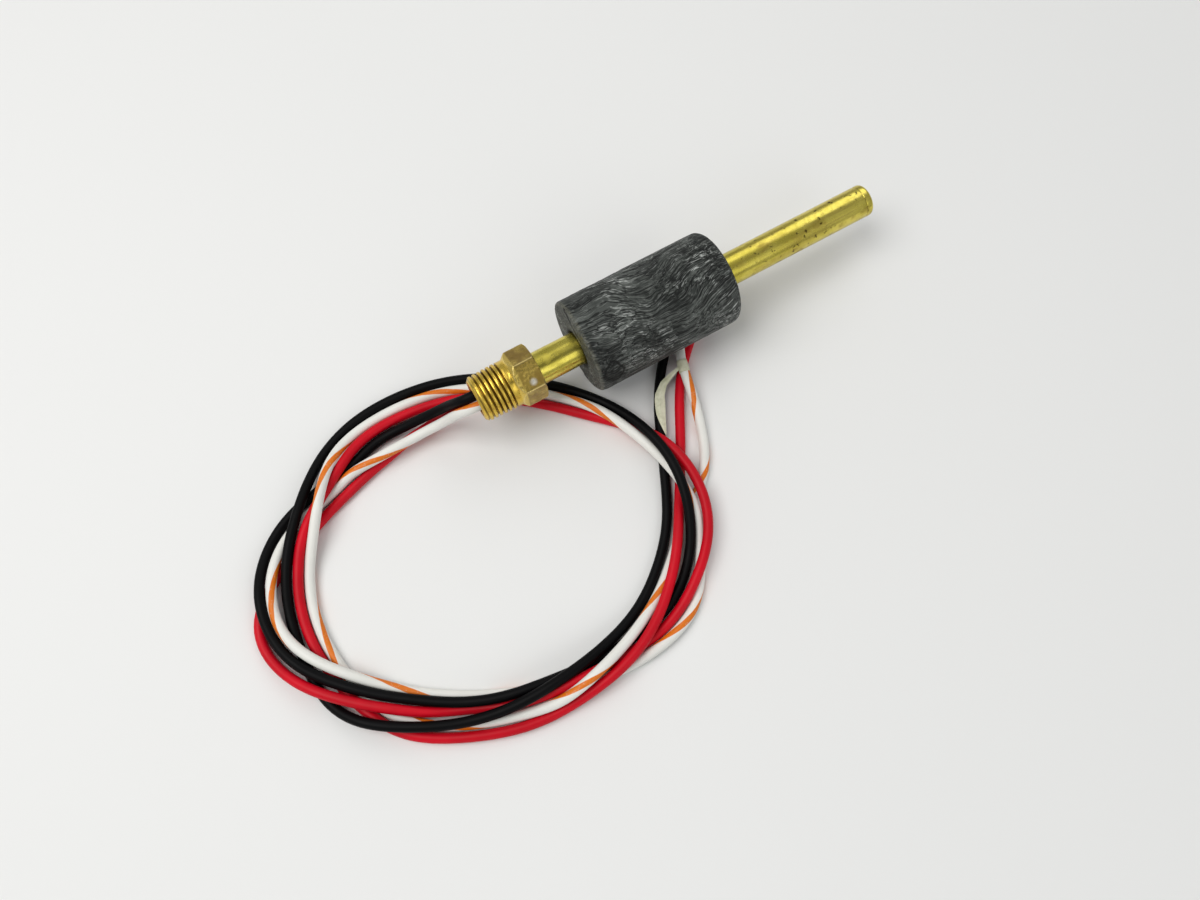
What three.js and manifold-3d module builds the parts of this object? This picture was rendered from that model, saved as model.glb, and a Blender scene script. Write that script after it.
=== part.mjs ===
// Side-mount liquid level float switch: brass pipe-thread fitting, brass stem, foam float, reed switch and three leads.
// Millimetres. The origin is on the stem axis, half way along the probe. +X runs to the closed tip, +Z is up.
import * as THREE from "three";
import { mergeVertices } from "three/addons/utils/BufferGeometryUtils.js";
import Module from "manifold-3d";

const wasm = await Module();
wasm.setup();

// Driving dimensions
const THREAD_END = -64.5; // outer end of the pipe thread
const THREAD_STOP = -53.4; // where the thread meets the collar
const HEX_START = -51.8;
const HEX_FACE = -45.7; // flat face of the hex on the stem side
const TIP = 64.5;
const PITCH = 1.411; // 1/4-18 NPT
const CREST_R = 6.62; // crest radius at the small end
const TAPER = 1 / 32; // radius per mm of length
const THREAD_DEPTH = 0.95;
const HEX_AF = 14.29;
const HEX_R = HEX_AF / Math.sqrt(3);
const HEX_CORNER_DEG = 26;
const STEM_R = 4.7625;
const STEM_BORE_R = 3.96;
const GAP = 0.3;
const FLOAT_R = 14;
const FLOAT_X0 = -32.5;
const FLOAT_X1 = 13.6;
const FLOAT_BORE_R = 5.2;
const LEAD_R = 1.35;
const REED_Y = 0;
const REED_Z = 1.6;

const ROUTE_BLACK = [
  [-61.1, 1.14, 1.36], [-63.2, 1.14, 1.36], [-67.05, 1.56, 0.68], [-70.06, 3.21, -2.38], [-73.23, 5.25, -6.85],
  [-78.73, 6.99, -10.78], [-85.41, 8.45, -13.99], [-91.76, 9.03, -15.58], [-98.61, 7.61, -15.8], [-107.42, 5.46, -15.8],
  [-117.63, 3.22, -15.8], [-125.76, 0.55, -15.79], [-131.8, -3.12, -15.48], [-136.5, -8.01, -14.55], [-139.87, -13.9, -13.18],
  [-141.87, -20.42, -12.82], [-142.43, -27.12, -13.47], [-141.28, -33.66, -13.51], [-138.33, -39.97, -12.83], [-133.46, -46.38, -12.49],
  [-126.81, -53.08, -12.84], [-118.81, -59.55, -13.4], [-110.27, -65.47, -13.44], [-102.11, -69.89, -13.14], [-93.9, -72.76, -12.74],
  [-85.28, -74.43, -13.05], [-75.74, -75.63, -14.63], [-66.42, -76.03, -15.69], [-56.7, -75.51, -15.8], [-48.29, -74.09, -15.8],
  [-41.61, -71.38, -15.75], [-36.06, -67.22, -15.23], [-31.44, -61.79, -13.81], [-27.88, -55.32, -11.61], [-25.61, -48.32, -9.81],
  [-24.46, -41.03, -9.39], [-24.59, -33.34, -9.99], [-26.07, -25.54, -11.49], [-28.67, -18.07, -13.81], [-32.41, -11.32, -15.36],
  [-37.61, -4.76, -15.8], [-44.36, 1.84, -15.8], [-52.14, 7.69, -15.8], [-60.42, 12.48, -15.8], [-68.83, 15.86, -15.8],
  [-77.63, 17.86, -15.8], [-86.68, 18.56, -15.8], [-95.26, 17.92, -15.8], [-102.84, 15.9, -15.76], [-109.36, 12.54, -15.27],
  [-115.25, 7.56, -13.92], [-121.02, 1.14, -12.5], [-126.71, -5.85, -12.35], [-131.41, -13.11, -13.1], [-134.86, -20.47, -14.65],
  [-136.84, -28.24, -15.64], [-137.76, -37.27, -15.8], [-137.68, -45.52, -15.8], [-136.14, -51.96, -15.41], [-132.91, -57.36, -14.16],
  [-127.91, -62.16, -12.96], [-120.93, -66.78, -12.64], [-112.4, -71.14, -12.74], [-103.93, -74.14, -12.64], [-95.43, -75.85, -11.71],
  [-86.92, -76.35, -10.61], [-78.73, -75.94, -10.79], [-69.84, -74.79, -12.5], [-60.84, -72.68, -14.49], [-53.17, -69.74, -15.58],
  [-46.13, -65.43, -15.8], [-39.37, -59.65, -15.8], [-33.76, -53.1, -15.8], [-29.04, -44.97, -15.8], [-23.67, -33.73, -15.8],
  [-18.59, -23.14, -15.8], [-13.57, -15.15, -15.8], [-7.03, -7.5, -15.8], [-1.29, -0.85, -15.83], [1.86, 5.24, -15.8],
  [2.98, 11.54, -15.8],
];
const ROUTE_RED = [
  [-61.1, 0.61, -1.66], [-63.2, 0.61, -1.66], [-67.01, 0.97, -2.76], [-69.82, 2.4, -6.62], [-73.31, 4.25, -11.28],
  [-77.79, 5.37, -14.45], [-83.36, 5.34, -15.7], [-90.93, 3.7, -15.8], [-101.42, 1.11, -15.8], [-112.28, -2.42, -15.8],
  [-122.46, -6.54, -15.8], [-131.88, -11.31, -15.8], [-138.84, -15.86, -15.8], [-143.28, -20.45, -15.8], [-145.54, -25.62, -15.79],
  [-145.7, -31.33, -15.58], [-143.93, -37.44, -14.82], [-140.34, -43.68, -13.42], [-135.08, -49.85, -12.51], [-128.27, -56.11, -12.49],
  [-121.12, -61.68, -13.32], [-113.94, -66.28, -15.04], [-106.11, -69.98, -15.8], [-97.76, -73.72, -15.29], [-89.59, -76.63, -13.87],
  [-81.35, -78.04, -12.89], [-72.57, -78.58, -13.08], [-62.75, -78.78, -14.63], [-54.15, -78.45, -15.72], [-47, -77.01, -15.49],
  [-40.21, -74, -14.24], [-33.6, -69.51, -12.83], [-27.89, -64.24, -12.43], [-23.68, -58.3, -12.47], [-21.16, -51.69, -12.48],
  [-20.31, -44.53, -12.3], [-21.07, -37.45, -12.11], [-23.19, -30.91, -12.93], [-26.61, -24.96, -14.79], [-31.74, -19.17, -15.79],
  [-39.7, -11.41, -15.8], [-48.07, -3.48, -15.79], [-55.96, 2.67, -15.77], [-63.77, 7.26, -15.6], [-71.81, 10.32, -15.56],
  [-80.47, 12.01, -15.61], [-88.8, 12.43, -15.37], [-95.99, 11.37, -14.6], [-102.58, 8.56, -13.26], [-110.02, 3.68, -12.73],
  [-118.29, -2.04, -12.73], [-124.08, -7.55, -12.83], [-128.46, -14.07, -13.65], [-131.81, -21.33, -14.95], [-133.59, -28.82, -15.69],
  [-133.85, -36.94, -15.8], [-132.65, -45.83, -15.8], [-130.22, -54.54, -15.8], [-126.81, -61.95, -15.8], [-122.37, -67.77, -15.8],
  [-116.32, -72.48, -15.8], [-108.2, -76.78, -15.8], [-99.17, -80.31, -15.8], [-90.54, -82.37, -15.79], [-81.97, -82.97, -15.38],
  [-72.95, -82.54, -13.87], [-64.64, -81.26, -12.48], [-57.21, -78.82, -12.31], [-50.03, -74.84, -12.66], [-43.08, -69.28, -12.86],
  [-36.75, -62.63, -12.74], [-31.63, -55.63, -13.06], [-26.85, -48.42, -14.92], [-21.97, -40.93, -15.8], [-16.18, -31.25, -15.8],
  [-10.53, -21.48, -15.8], [-5.03, -14.2, -15.8], [2.07, -7.41, -15.8], [7.86, -1.45, -15.8], [11.1, 4.29, -15.8],
  [12.42, 10.55, -15.8],
];
const ROUTE_WHITE = [
  [-61.1, -1.74, 0.31], [-63.2, -1.74, 0.31], [-67.4, -1.37, -0.26], [-70.96, 0.15, -3.26], [-74.26, 1.87, -7.88],
  [-78.93, 3.18, -11.39], [-84.75, 3.64, -12.92], [-92.53, 3.33, -12.77], [-100.95, 3.3, -13.42], [-108.27, 2.24, -15.02],
  [-116.27, -0.08, -15.8], [-123.94, -2.54, -15.51], [-129.84, -6.13, -14.43], [-134.38, -11.11, -13.09], [-137.63, -17.19, -12.71],
  [-139.25, -23.66, -12.98], [-138.86, -30.15, -12.92], [-136.33, -36.65, -12.6], [-131.81, -43.24, -12.47], [-125.93, -49.89, -13.55],
  [-119.2, -56.4, -15.29], [-111.8, -62.2, -15.8], [-102.96, -67.66, -15.8], [-92.65, -72.7, -15.8], [-81.98, -77.08, -15.8],
  [-72.09, -80.08, -15.8], [-62.83, -81.61, -15.75], [-54.17, -81.54, -15.4], [-46.35, -80.05, -15.31], [-40.01, -77.2, -15.61],
  [-34.9, -72.55, -15.8], [-30.44, -65.86, -15.55], [-26.64, -58.56, -14.29], [-24.63, -51.71, -12.83], [-24.54, -44.23, -12.43],
  [-25.92, -35.4, -12.8], [-28.69, -26.37, -12.84], [-32.31, -18.06, -12.81], [-36.59, -11.05, -14.04], [-42.27, -4.65, -15.45],
  [-49.28, 1.55, -15.8], [-57.37, 7.25, -15.8], [-65.65, 11.47, -15.8], [-74.22, 14.12, -15.8], [-83.36, 15.35, -15.8],
  [-91.82, 15.23, -15.66], [-98.85, 13.78, -14.68], [-104.76, 10.85, -12.74], [-109.69, 6.34, -10.55], [-114.04, 0.78, -9.68],
  [-118.6, -5.37, -10.9], [-123.76, -12.14, -13.69], [-127.59, -18.68, -15.37], [-129.87, -25.92, -15.79], [-130.75, -34.18, -15.8],
  [-130.04, -43.08, -15.8], [-127.93, -51.85, -15.8], [-124.64, -59.41, -15.8], [-120.2, -65.37, -15.8], [-114.04, -70.15, -15.8],
  [-105.83, -74.39, -15.8], [-96.92, -77.68, -15.6], [-88.9, -79.9, -14.24], [-81.74, -80.87, -11.9], [-74.77, -80.16, -10.4],
  [-67.24, -78.38, -10.6], [-58.5, -75.46, -12.27], [-49.97, -71.45, -14.27], [-42.58, -66.55, -15.55], [-34.57, -59.72, -15.8],
  [-25.82, -52.39, -15.8], [-18.81, -47.25, -15.8], [-14.18, -41.5, -15.8], [-10.75, -34.17, -15.55], [-8.12, -25.38, -14.34],
  [-6.39, -17.24, -12.88], [-4.2, -10.82, -13.29], [-0.27, -5.1, -15.02], [4.14, 0.9, -15.82], [6.89, 7.03, -15.8],
  [7.65, 13.66, -15.8],
];

const fromLathe = new THREE.Matrix4().makeBasis(
  new THREE.Vector3(0, 0, 1),
  new THREE.Vector3(1, 0, 0),
  new THREE.Vector3(0, 1, 0),
);
const fromShape = new THREE.Matrix4().makeBasis(
  new THREE.Vector3(0, 1, 0),
  new THREE.Vector3(0, 0, 1),
  new THREE.Vector3(1, 0, 0),
);

function solid(geometry) {
  const g = geometry.clone();
  g.deleteAttribute("normal");
  g.deleteAttribute("uv");
  const m = mergeVertices(g, 1e-4);
  const pos = m.attributes.position.array;
  let tri = new Uint32Array(m.index.array);
  const keep = [];
  for (let i = 0; i < tri.length; i += 3)
    if (tri[i] !== tri[i + 1] && tri[i + 1] !== tri[i + 2] && tri[i] !== tri[i + 2])
      keep.push(tri[i], tri[i + 1], tri[i + 2]);
  tri = new Uint32Array(keep);
  let v = 0;
  for (let i = 0; i < tri.length; i += 3) {
    const [a, b, c] = [tri[i] * 3, tri[i + 1] * 3, tri[i + 2] * 3];
    v +=
      pos[a] * (pos[b + 1] * pos[c + 2] - pos[b + 2] * pos[c + 1]) +
      pos[a + 1] * (pos[b + 2] * pos[c] - pos[b] * pos[c + 2]) +
      pos[a + 2] * (pos[b] * pos[c + 1] - pos[b + 1] * pos[c]);
  }
  if (v < 0)
    for (let i = 0; i < tri.length; i += 3) [tri[i + 1], tri[i + 2]] = [tri[i + 2], tri[i + 1]];
  return new wasm.Manifold(
    new wasm.Mesh({ numProp: 3, vertProperties: new Float32Array(pos), triVerts: tri }),
  );
}

function raw(points, faces) {
  const g = new THREE.BufferGeometry();
  g.setAttribute("position", new THREE.BufferAttribute(new Float32Array(points.flat()), 3));
  g.setIndex(faces.flat());
  return solid(g);
}

// profile: [radius, x] pairs that close on themselves or start and end on the axis
function turned(profile, segments = 48, y = 0, z = 0) {
  const closes = profile[0][0] === 0 && profile[profile.length - 1][0] === 0;
  const pts = profile.map(([r, x]) => new THREE.Vector2(r, x));
  if (!closes) pts.push(pts[0].clone());
  const g = new THREE.LatheGeometry(pts, segments);
  g.applyMatrix4(fromLathe);
  g.translate(0, y, z);
  return solid(g);
}

function prism(pointsYZ, x0, x1) {
  const shape = new THREE.Shape(pointsYZ.map(([y, z]) => new THREE.Vector2(y, z)));
  const g = new THREE.ExtrudeGeometry(shape, { depth: x1 - x0, bevelEnabled: false });
  g.applyMatrix4(fromShape);
  g.translate(x0, 0, 0);
  return solid(g);
}

function box(x0, x1, y0, y1, z0, z1) {
  return prism([[y0, z0], [y1, z0], [y1, z1], [y0, z1]], x0, x1);
}

// A curve whose stations are its own control points
class StationCurve extends THREE.CatmullRomCurve3 {
  getPointAt(u, target) {
    return this.getPoint(u, target);
  }
  getTangentAt(u, target) {
    return this.getTangent(u, target);
  }
}

function tube(points, radius, sides = 8) {
  const curve = new StationCurve(
    points.map((p) => new THREE.Vector3(...p)),
    false,
    "centripetal",
  );
  const shape = new THREE.Shape(
    Array.from({ length: sides }, (_, i) => {
      const a = (2 * Math.PI * i) / sides;
      return new THREE.Vector2(radius * Math.cos(a), radius * Math.sin(a));
    }),
  );
  return solid(
    new THREE.ExtrudeGeometry(shape, {
      steps: points.length - 1,
      bevelEnabled: false,
      extrudePath: curve,
    }),
  );
}

// rings: equal-length loops of [x, y, z], lofted one to the next and capped with fans
function loft(rings) {
  const n = rings[0].length;
  const points = rings.flat();
  const faces = [];
  for (let k = 0; k < rings.length - 1; k++)
    for (let i = 0; i < n; i++) {
      const a = k * n + i,
        b = k * n + ((i + 1) % n),
        c = a + n,
        d = b + n;
      faces.push([a, b, d], [a, d, c]);
    }
  const cap = (k, flip) => {
    const half = n / 2;
    for (let i = 0; i < half - 1; i++) {
      const a = k * n + i,
        b = k * n + i + 1,
        c = k * n + n - 2 - i,
        d = k * n + n - 1 - i;
      if (flip) faces.push([a, c, b], [a, d, c]);
      else faces.push([a, b, c], [a, c, d]);
    }
  };
  cap(0, true);
  cap(rings.length - 1, false);
  return raw(points, faces);
}

function threadSolid(x0, turns, segments) {
  const f = [0, 0.2, 0.5, 0.7];
  const off = [1, 1, 0, 0];
  const J = Math.round(turns * segments);
  const points = [];
  const at = (j, m) => {
    const a = (2 * Math.PI * j) / segments;
    const x = x0 + PITCH * (j / segments + f[m]);
    const r = CREST_R + (x - THREAD_END) * TAPER - THREAD_DEPTH * off[m];
    points.push([x, r * Math.cos(a), r * Math.sin(a)]);
    return points.length - 1;
  };
  const base = [];
  for (let j = 0; j <= J + segments; j++) base.push(at(j, 0));
  const mid = [];
  for (let j = 0; j <= J; j++) mid.push([1, 2, 3].map((m) => at(j, m)));
  const id = (j, m) => (m === 0 ? base[j] : m === 4 ? base[j + segments] : mid[j][m - 1]);
  const faces = [];
  for (let j = 0; j < J; j++)
    for (let m = 0; m < 4; m++) {
      const a = id(j, m),
        b = id(j + 1, m),
        c = id(j + 1, m + 1),
        d = id(j, m + 1);
      faces.push([a, b, c], [a, c, d]);
    }
  const low = [];
  for (let j = 0; j <= segments; j++) low.push(base[j]);
  low.push(id(0, 3), id(0, 2), id(0, 1));
  const high = [id(J, 1), id(J, 2), id(J, 3)];
  for (let j = J + segments; j >= J; j--) high.push(base[j]);
  const fan = (loop, x) => {
    points.push([x, 0, 0]);
    const c = points.length - 1;
    for (let i = 0; i < loop.length; i++) faces.push([c, loop[(i + 1) % loop.length], loop[i]]);
  };
  fan(low, x0 + PITCH / 2);
  fan(high, x0 + PITCH * (turns + 0.5));
  return raw(points, faces);
}

const group = new THREE.Group();
group.name = "float_switch_probe";

function add(name, body, colour, metalness, roughness, extra = {}) {
  const mesh = body.getMesh();
  const g = new THREE.BufferGeometry();
  const np = mesh.numProp;
  const src = mesh.vertProperties;
  const pos = new Float32Array((src.length / np) * 3);
  for (let i = 0, k = 0; i < src.length; i += np, k += 3) {
    pos[k] = src[i];
    pos[k + 1] = src[i + 1];
    pos[k + 2] = src[i + 2];
  }
  g.setAttribute("position", new THREE.BufferAttribute(pos, 3));
  g.setIndex(Array.from(mesh.triVerts));
  const flat = g.toNonIndexed();
  flat.computeVertexNormals();
  const m = new THREE.Mesh(
    flat,
    new THREE.MeshStandardMaterial({ color: colour, metalness, roughness, ...extra }),
  );
  m.name = name;
  group.add(m);
}

// Fitting: pipe thread, collar cone and hex in one piece of brass
const crestAt = (x) => CREST_R + (x - THREAD_END) * TAPER;
const threadEnvelope = turned(
  [
    [0, THREAD_END],
    [CREST_R - 0.85, THREAD_END],
    [CREST_R + 0.02, THREAD_END + 0.85],
    [crestAt(THREAD_STOP) + 0.02, THREAD_STOP + 0.6],
    [0, THREAD_STOP + 0.6],
  ],
  40,
);
const thread = threadSolid(THREAD_END - 1.3 * PITCH, 9.6, 25).intersect(threadEnvelope);
const hexPoints = Array.from({ length: 6 }, (_, k) => {
  const a = ((HEX_CORNER_DEG + 60 * k) * Math.PI) / 180;
  return [HEX_R * Math.cos(a), HEX_R * Math.sin(a)];
});
const hexEnvelope = turned(
  [
    [0, THREAD_STOP],
    [6.8, THREAD_STOP],
    [8.3, HEX_START],
    [8.3, HEX_FACE - 0.45],
    [7.45, HEX_FACE],
    [0, HEX_FACE],
  ],
  40,
);
const hex = prism(hexPoints, THREAD_STOP - 0.5, HEX_FACE + 0.5).intersect(hexEnvelope);
const fittingBore = turned(
  [
    [0, THREAD_END - 1],
    [4.5, THREAD_END - 1],
    [4.5, -57.5],
    [STEM_R + GAP, -57.5],
    [STEM_R + GAP, HEX_FACE - 0.9],
    [5.9, HEX_FACE - 0.9],
    [5.9, HEX_FACE + 1],
    [0, HEX_FACE + 1],
  ],
  32,
);
add("npt_fitting", thread.add(hex).subtract(fittingBore), 0xb8964a, 0.9, 0.35);

// Stem: tube, end plug and the brazed ring at the hex face
add(
  "stem_tube",
  turned([[STEM_BORE_R, -57.2], [STEM_R, -57.2], [STEM_R, 62], [STEM_BORE_R, 62]], 48),
  0xc9b24a,
  0.9,
  0.25,
);
add(
  "stem_end_plug",
  turned(
    [
      [0, 58.6],
      [STEM_BORE_R - 0.55, 58.6],
      [STEM_BORE_R - GAP, 58.9],
      [STEM_BORE_R - GAP, 62.3],
      [STEM_R, 62.3],
      [STEM_R, 63.6],
      [STEM_R - 0.14, 64.02],
      [STEM_R - 0.42, 64.34],
      [STEM_R - 0.9, TIP],
      [0, TIP],
    ],
    48,
  ),
  0xc9b24a,
  0.9,
  0.25,
);
add(
  "braze_ring",
  turned(
    [[STEM_R + 0.28, -46.3], [5.6, -46.3], [5.6, -45.75], [5.35, -45.42], [STEM_R + 0.28, -45.36]],
    40,
  ),
  0xd8c070,
  0.9,
  0.3,
);

// Potting in the thread end, with one pocket where the three leads go in
const leadPocket = [50, 170, 290]
  .map((d) => {
    const a = (d * Math.PI) / 180;
    return turned([[0, -64.2], [1.66, -64.2], [1.66, -60.8], [0, -60.8]], 20, 1.77 * Math.cos(a), 1.77 * Math.sin(a));
  })
  .reduce((a, b) => a.add(b));
add(
  "potting_plug",
  turned([[0, -63.3], [4.2, -63.3], [4.2, -59], [0, -59]], 32).subtract(leadPocket),
  0x23211f,
  0,
  0.5,
);

// Reed switch in the stem
add(
  "reed_glass",
  turned(
    [
      [1.0, 4.2],
      [0.62, 3.4],
      [0.85, 3.1],
      [1.3, 3.9],
      [1.3, 16.1],
      [1.1, 16.9],
      [0.85, 16.9],
      [1.0, 15.9],
    ],
    24,
    REED_Y,
    REED_Z,
  ),
  0xcfe0dc,
  0,
  0.1,
  { transparent: true, opacity: 0.5 },
);
add(
  "reed_blade_common",
  box(4.6, 11.6, -0.4, 0.4, REED_Z - 0.07, REED_Z + 0.07).add(
    tube([[-0.9, 0, REED_Z], [1.5, 0, REED_Z], [3.5, 0, REED_Z], [5.2, 0, REED_Z]], 0.25, 6),
  ),
  0xb9bcc0,
  0.9,
  0.3,
);
add(
  "reed_blade_open",
  box(10.6, 15.2, -0.33, 0.33, REED_Z + 0.4, REED_Z + 0.54).add(
    tube(
      [
        [14.2, 0.12, REED_Z + 0.47],
        [15.2, 0.2, REED_Z + 0.42],
        [16.4, 0.36, REED_Z + 0.2],
        [18, 0.42, REED_Z],
        [23, 0.5, REED_Z],
        [25.4, 0.8, 1.1],
        [26.2, 1.2, -0.3],
        [25.5, 1.5, -1.5],
        [24.4, 1.5, -1.75],
        [22.5, 1.5, -1.75],
      ],
      0.2,
      6,
    ),
  ),
  0xb9bcc0,
  0.9,
  0.3,
);
add(
  "reed_blade_closed",
  box(10.6, 15.2, -0.33, 0.33, REED_Z - 0.54, REED_Z - 0.4).add(
    tube(
      [
        [14.2, -0.12, REED_Z - 0.47],
        [15.2, -0.2, REED_Z - 0.42],
        [16.4, -0.36, REED_Z - 0.2],
        [18, -0.42, REED_Z],
        [23, -0.5, REED_Z],
        [25.4, -0.8, 1.1],
        [26.2, -1.2, -0.3],
        [25.5, -1.5, -1.5],
        [24.4, -1.5, -1.75],
        [22.5, -1.5, -1.75],
      ],
      0.2,
      6,
    ),
  ),
  0xb9bcc0,
  0.9,
  0.3,
);
add(
  "reed_sleeve",
  turned([[1.6, 2.4], [1.9, 2.4], [1.9, 17.6], [1.6, 17.6]], 24, REED_Y, REED_Z),
  0x2a2a2c,
  0,
  0.6,
);

// The leads inside the stem, and the soldered joints on the reed wires
add(
  "inner_lead_black",
  tube(
    [[-58.6, 1.14, 1.36], [-50, 1.1, 1.4], [-38, 0.5, 1.55], [-26, 0, 1.6], [-14, 0, 1.6], [-3.4, 0, 1.6]],
    LEAD_R,
  ),
  0x0c0c0e,
  0,
  0.5,
);
add(
  "inner_lead_red",
  tube(
    [[-58.6, 0.61, -1.66], [-50, 0.8, -1.66], [-38, 1.3, -1.72], [-26, 1.52, -1.75], [-2, 1.52, -1.75], [10, 1.52, -1.75], [20.9, 1.52, -1.75]],
    LEAD_R,
  ),
  0xc00818,
  0,
  0.45,
);
add(
  "inner_lead_white",
  tube(
    [[-58.6, -1.74, 0.31], [-50, -1.78, 0.1], [-38, -1.72, -1.0], [-26, -1.52, -1.75], [-2, -1.52, -1.75], [10, -1.52, -1.75], [20.9, -1.52, -1.75]],
    LEAD_R,
  ),
  0xe6e4dc,
  0,
  0.45,
);
const joint = (y, z, x0, x1, open) => {
  const s = open > x0 ? 1 : -1;
  return turned([[0, x0], [0.7, x0], [1.0, x0 + 0.3], [1.0, x1 - 0.3], [0.7, x1], [0, x1]], 16, y, z).subtract(
    turned([[0, s > 0 ? x1 - 1.4 : x0 + 1.4], [0.5, s > 0 ? x1 - 1.4 : x0 + 1.4], [0.5, s > 0 ? x1 + 1 : x0 - 1], [0, s > 0 ? x1 + 1 : x0 - 1]], 12, y, z),
  );
};
add("solder_joint_common", joint(0, REED_Z, -3.1, -0.1, 1), 0xa8aaae, 0.9, 0.35);
add("solder_joint_open", joint(1.5, -1.75, 21.2, 23.4, 30), 0xa8aaae, 0.9, 0.35);
add("solder_joint_closed", joint(-1.5, -1.75, 21.2, 23.4, 30), 0xa8aaae, 0.9, 0.35);

// The three leads outside, with their bare ends
const leads = [
  ["black", ROUTE_BLACK, 0x0c0c0e],
  ["red", ROUTE_RED, 0xc00818],
  ["white", ROUTE_WHITE, 0xe6e4dc],
];
for (const [name, route, colour] of leads) add("wire_" + name, tube(route, LEAD_R), colour, 0, 0.45);
for (const [name, route] of leads) {
  const end = new THREE.Vector3(...route[route.length - 1]);
  const dir = end.clone().sub(new THREE.Vector3(...route[route.length - 2])).normalize();
  const at = (d) => end.clone().addScaledVector(dir, d).toArray();
  add("stripped_end_" + name, tube([at(0.3), at(2.2), at(4.2), at(6.3)], 0.6, 8), 0xc8c9cc, 0.9, 0.35);
}

// Blank sticker tag: a band over the white lead, with its tail lying on the black lead
const TAG_IN = 1.72;
const TAG_OUT = 1.96;
const arcRing = (c, s, n, from, to, count) => {
  const outer = [],
    inner = [];
  for (let i = 0; i < count; i++) {
    const a = ((from + ((to - from) * i) / (count - 1)) * Math.PI) / 180;
    const dir = [0, 1, 2].map((k) => Math.cos(a) * s[k] + Math.sin(a) * n[k]);
    outer.push(dir.map((d, k) => c[k] + TAG_OUT * d));
    inner.push(dir.map((d, k) => c[k] + TAG_IN * d));
  }
  return [...outer, ...inner.reverse()];
};
const stripRing = (c, s, half, count) => {
  const top = [],
    under = [];
  for (let i = 0; i < count; i++) {
    const t = 1 - (2 * i) / (count - 1);
    const p = s.map((v, k) => c[k] + v * half * t);
    top.push(p);
    under.push([p[0], p[1], p[2] - 0.24]);
  }
  return [...top, ...under.reverse()];
};
const UP = [0, 0, 1];
const tail = loft([
  arcRing([-21.63, -29.3, -15.8], [0.907, -0.422, 0], UP, 24, 78, 5),
  arcRing([-20.55, -27.0, -15.8], [0.9, -0.435, 0], UP, 22, 122, 5),
  arcRing([-19.67, -25.2, -15.8], [0.89, -0.455, 0], UP, 22, 124, 5),
  arcRing([-18.68, -23.3, -15.8], [0.879, -0.477, 0], UP, 22, 124, 5),
  arcRing([-16.67, -19.8, -15.8], [0.857, -0.515, 0], UP, 24, 122, 5),
  arcRing([-15.61, -18.1, -15.8], [0.82, -0.57, 0], UP, 34, 116, 5),
  stripRing([-13.3, -16.9, -13.5], [0.5, -0.86, 0], 1.1, 5),
  stripRing([-10.4, -16.0, -13.0], [0.16, -0.98, 0.03], 0.95, 5),
  stripRing([-7.8, -15.35, -12.6], [-0.2, -0.975, 0.05], 0.8, 5),
]);
const band = loft([
  arcRing([-6.38, -17.2, -12.9], [0.965, -0.253, 0], UP, 0, 184, 11),
  arcRing([-6.08, -16.1, -12.83], [0.963, -0.27, 0], UP, -12, 190, 11),
  arcRing([-5.73, -14.9, -12.85], [0.958, -0.285, 0], UP, -12, 190, 11),
  arcRing([-5.3, -13.6, -12.94], [0.944, -0.33, 0], UP, 0, 184, 11),
]);
add("wire_tag", band.add(tail), 0xe9e6cf, 0, 0.7);

// Float with its ring magnet
add(
  "float_magnet",
  turned([[5.45, -13.5], [7.2, -13.5], [7.2, -5.5], [5.45, -5.5]], 40),
  0x3a3a3e,
  0.3,
  0.5,
);
add(
  "float_body",
  turned(
    [
      [FLOAT_BORE_R, FLOAT_X0 + 0.3],
      [FLOAT_BORE_R + 0.3, FLOAT_X0],
      [FLOAT_R - 0.8, FLOAT_X0],
      [FLOAT_R - 0.2, FLOAT_X0 + 0.3],
      [FLOAT_R, FLOAT_X0 + 0.9],
      [FLOAT_R, FLOAT_X1 - 2.5],
      [FLOAT_R - 0.2, FLOAT_X1 - 1.5],
      [FLOAT_R - 0.8, FLOAT_X1 - 0.7],
      [FLOAT_R - 1.6, FLOAT_X1 - 0.2],
      [FLOAT_R - 2.6, FLOAT_X1],
      [FLOAT_BORE_R + 0.3, FLOAT_X1],
      [FLOAT_BORE_R, FLOAT_X1 - 0.3],
      [FLOAT_BORE_R, -5.2],
      [7.5, -5.2],
      [7.5, -13.8],
      [FLOAT_BORE_R, -13.8],
    ],
    56,
  ),
  0x5f605e,
  0,
  0.8,
);

export default group;
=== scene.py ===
import json
import math
import bpy
import numpy as np
from mathutils import Matrix, Vector, noise


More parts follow.
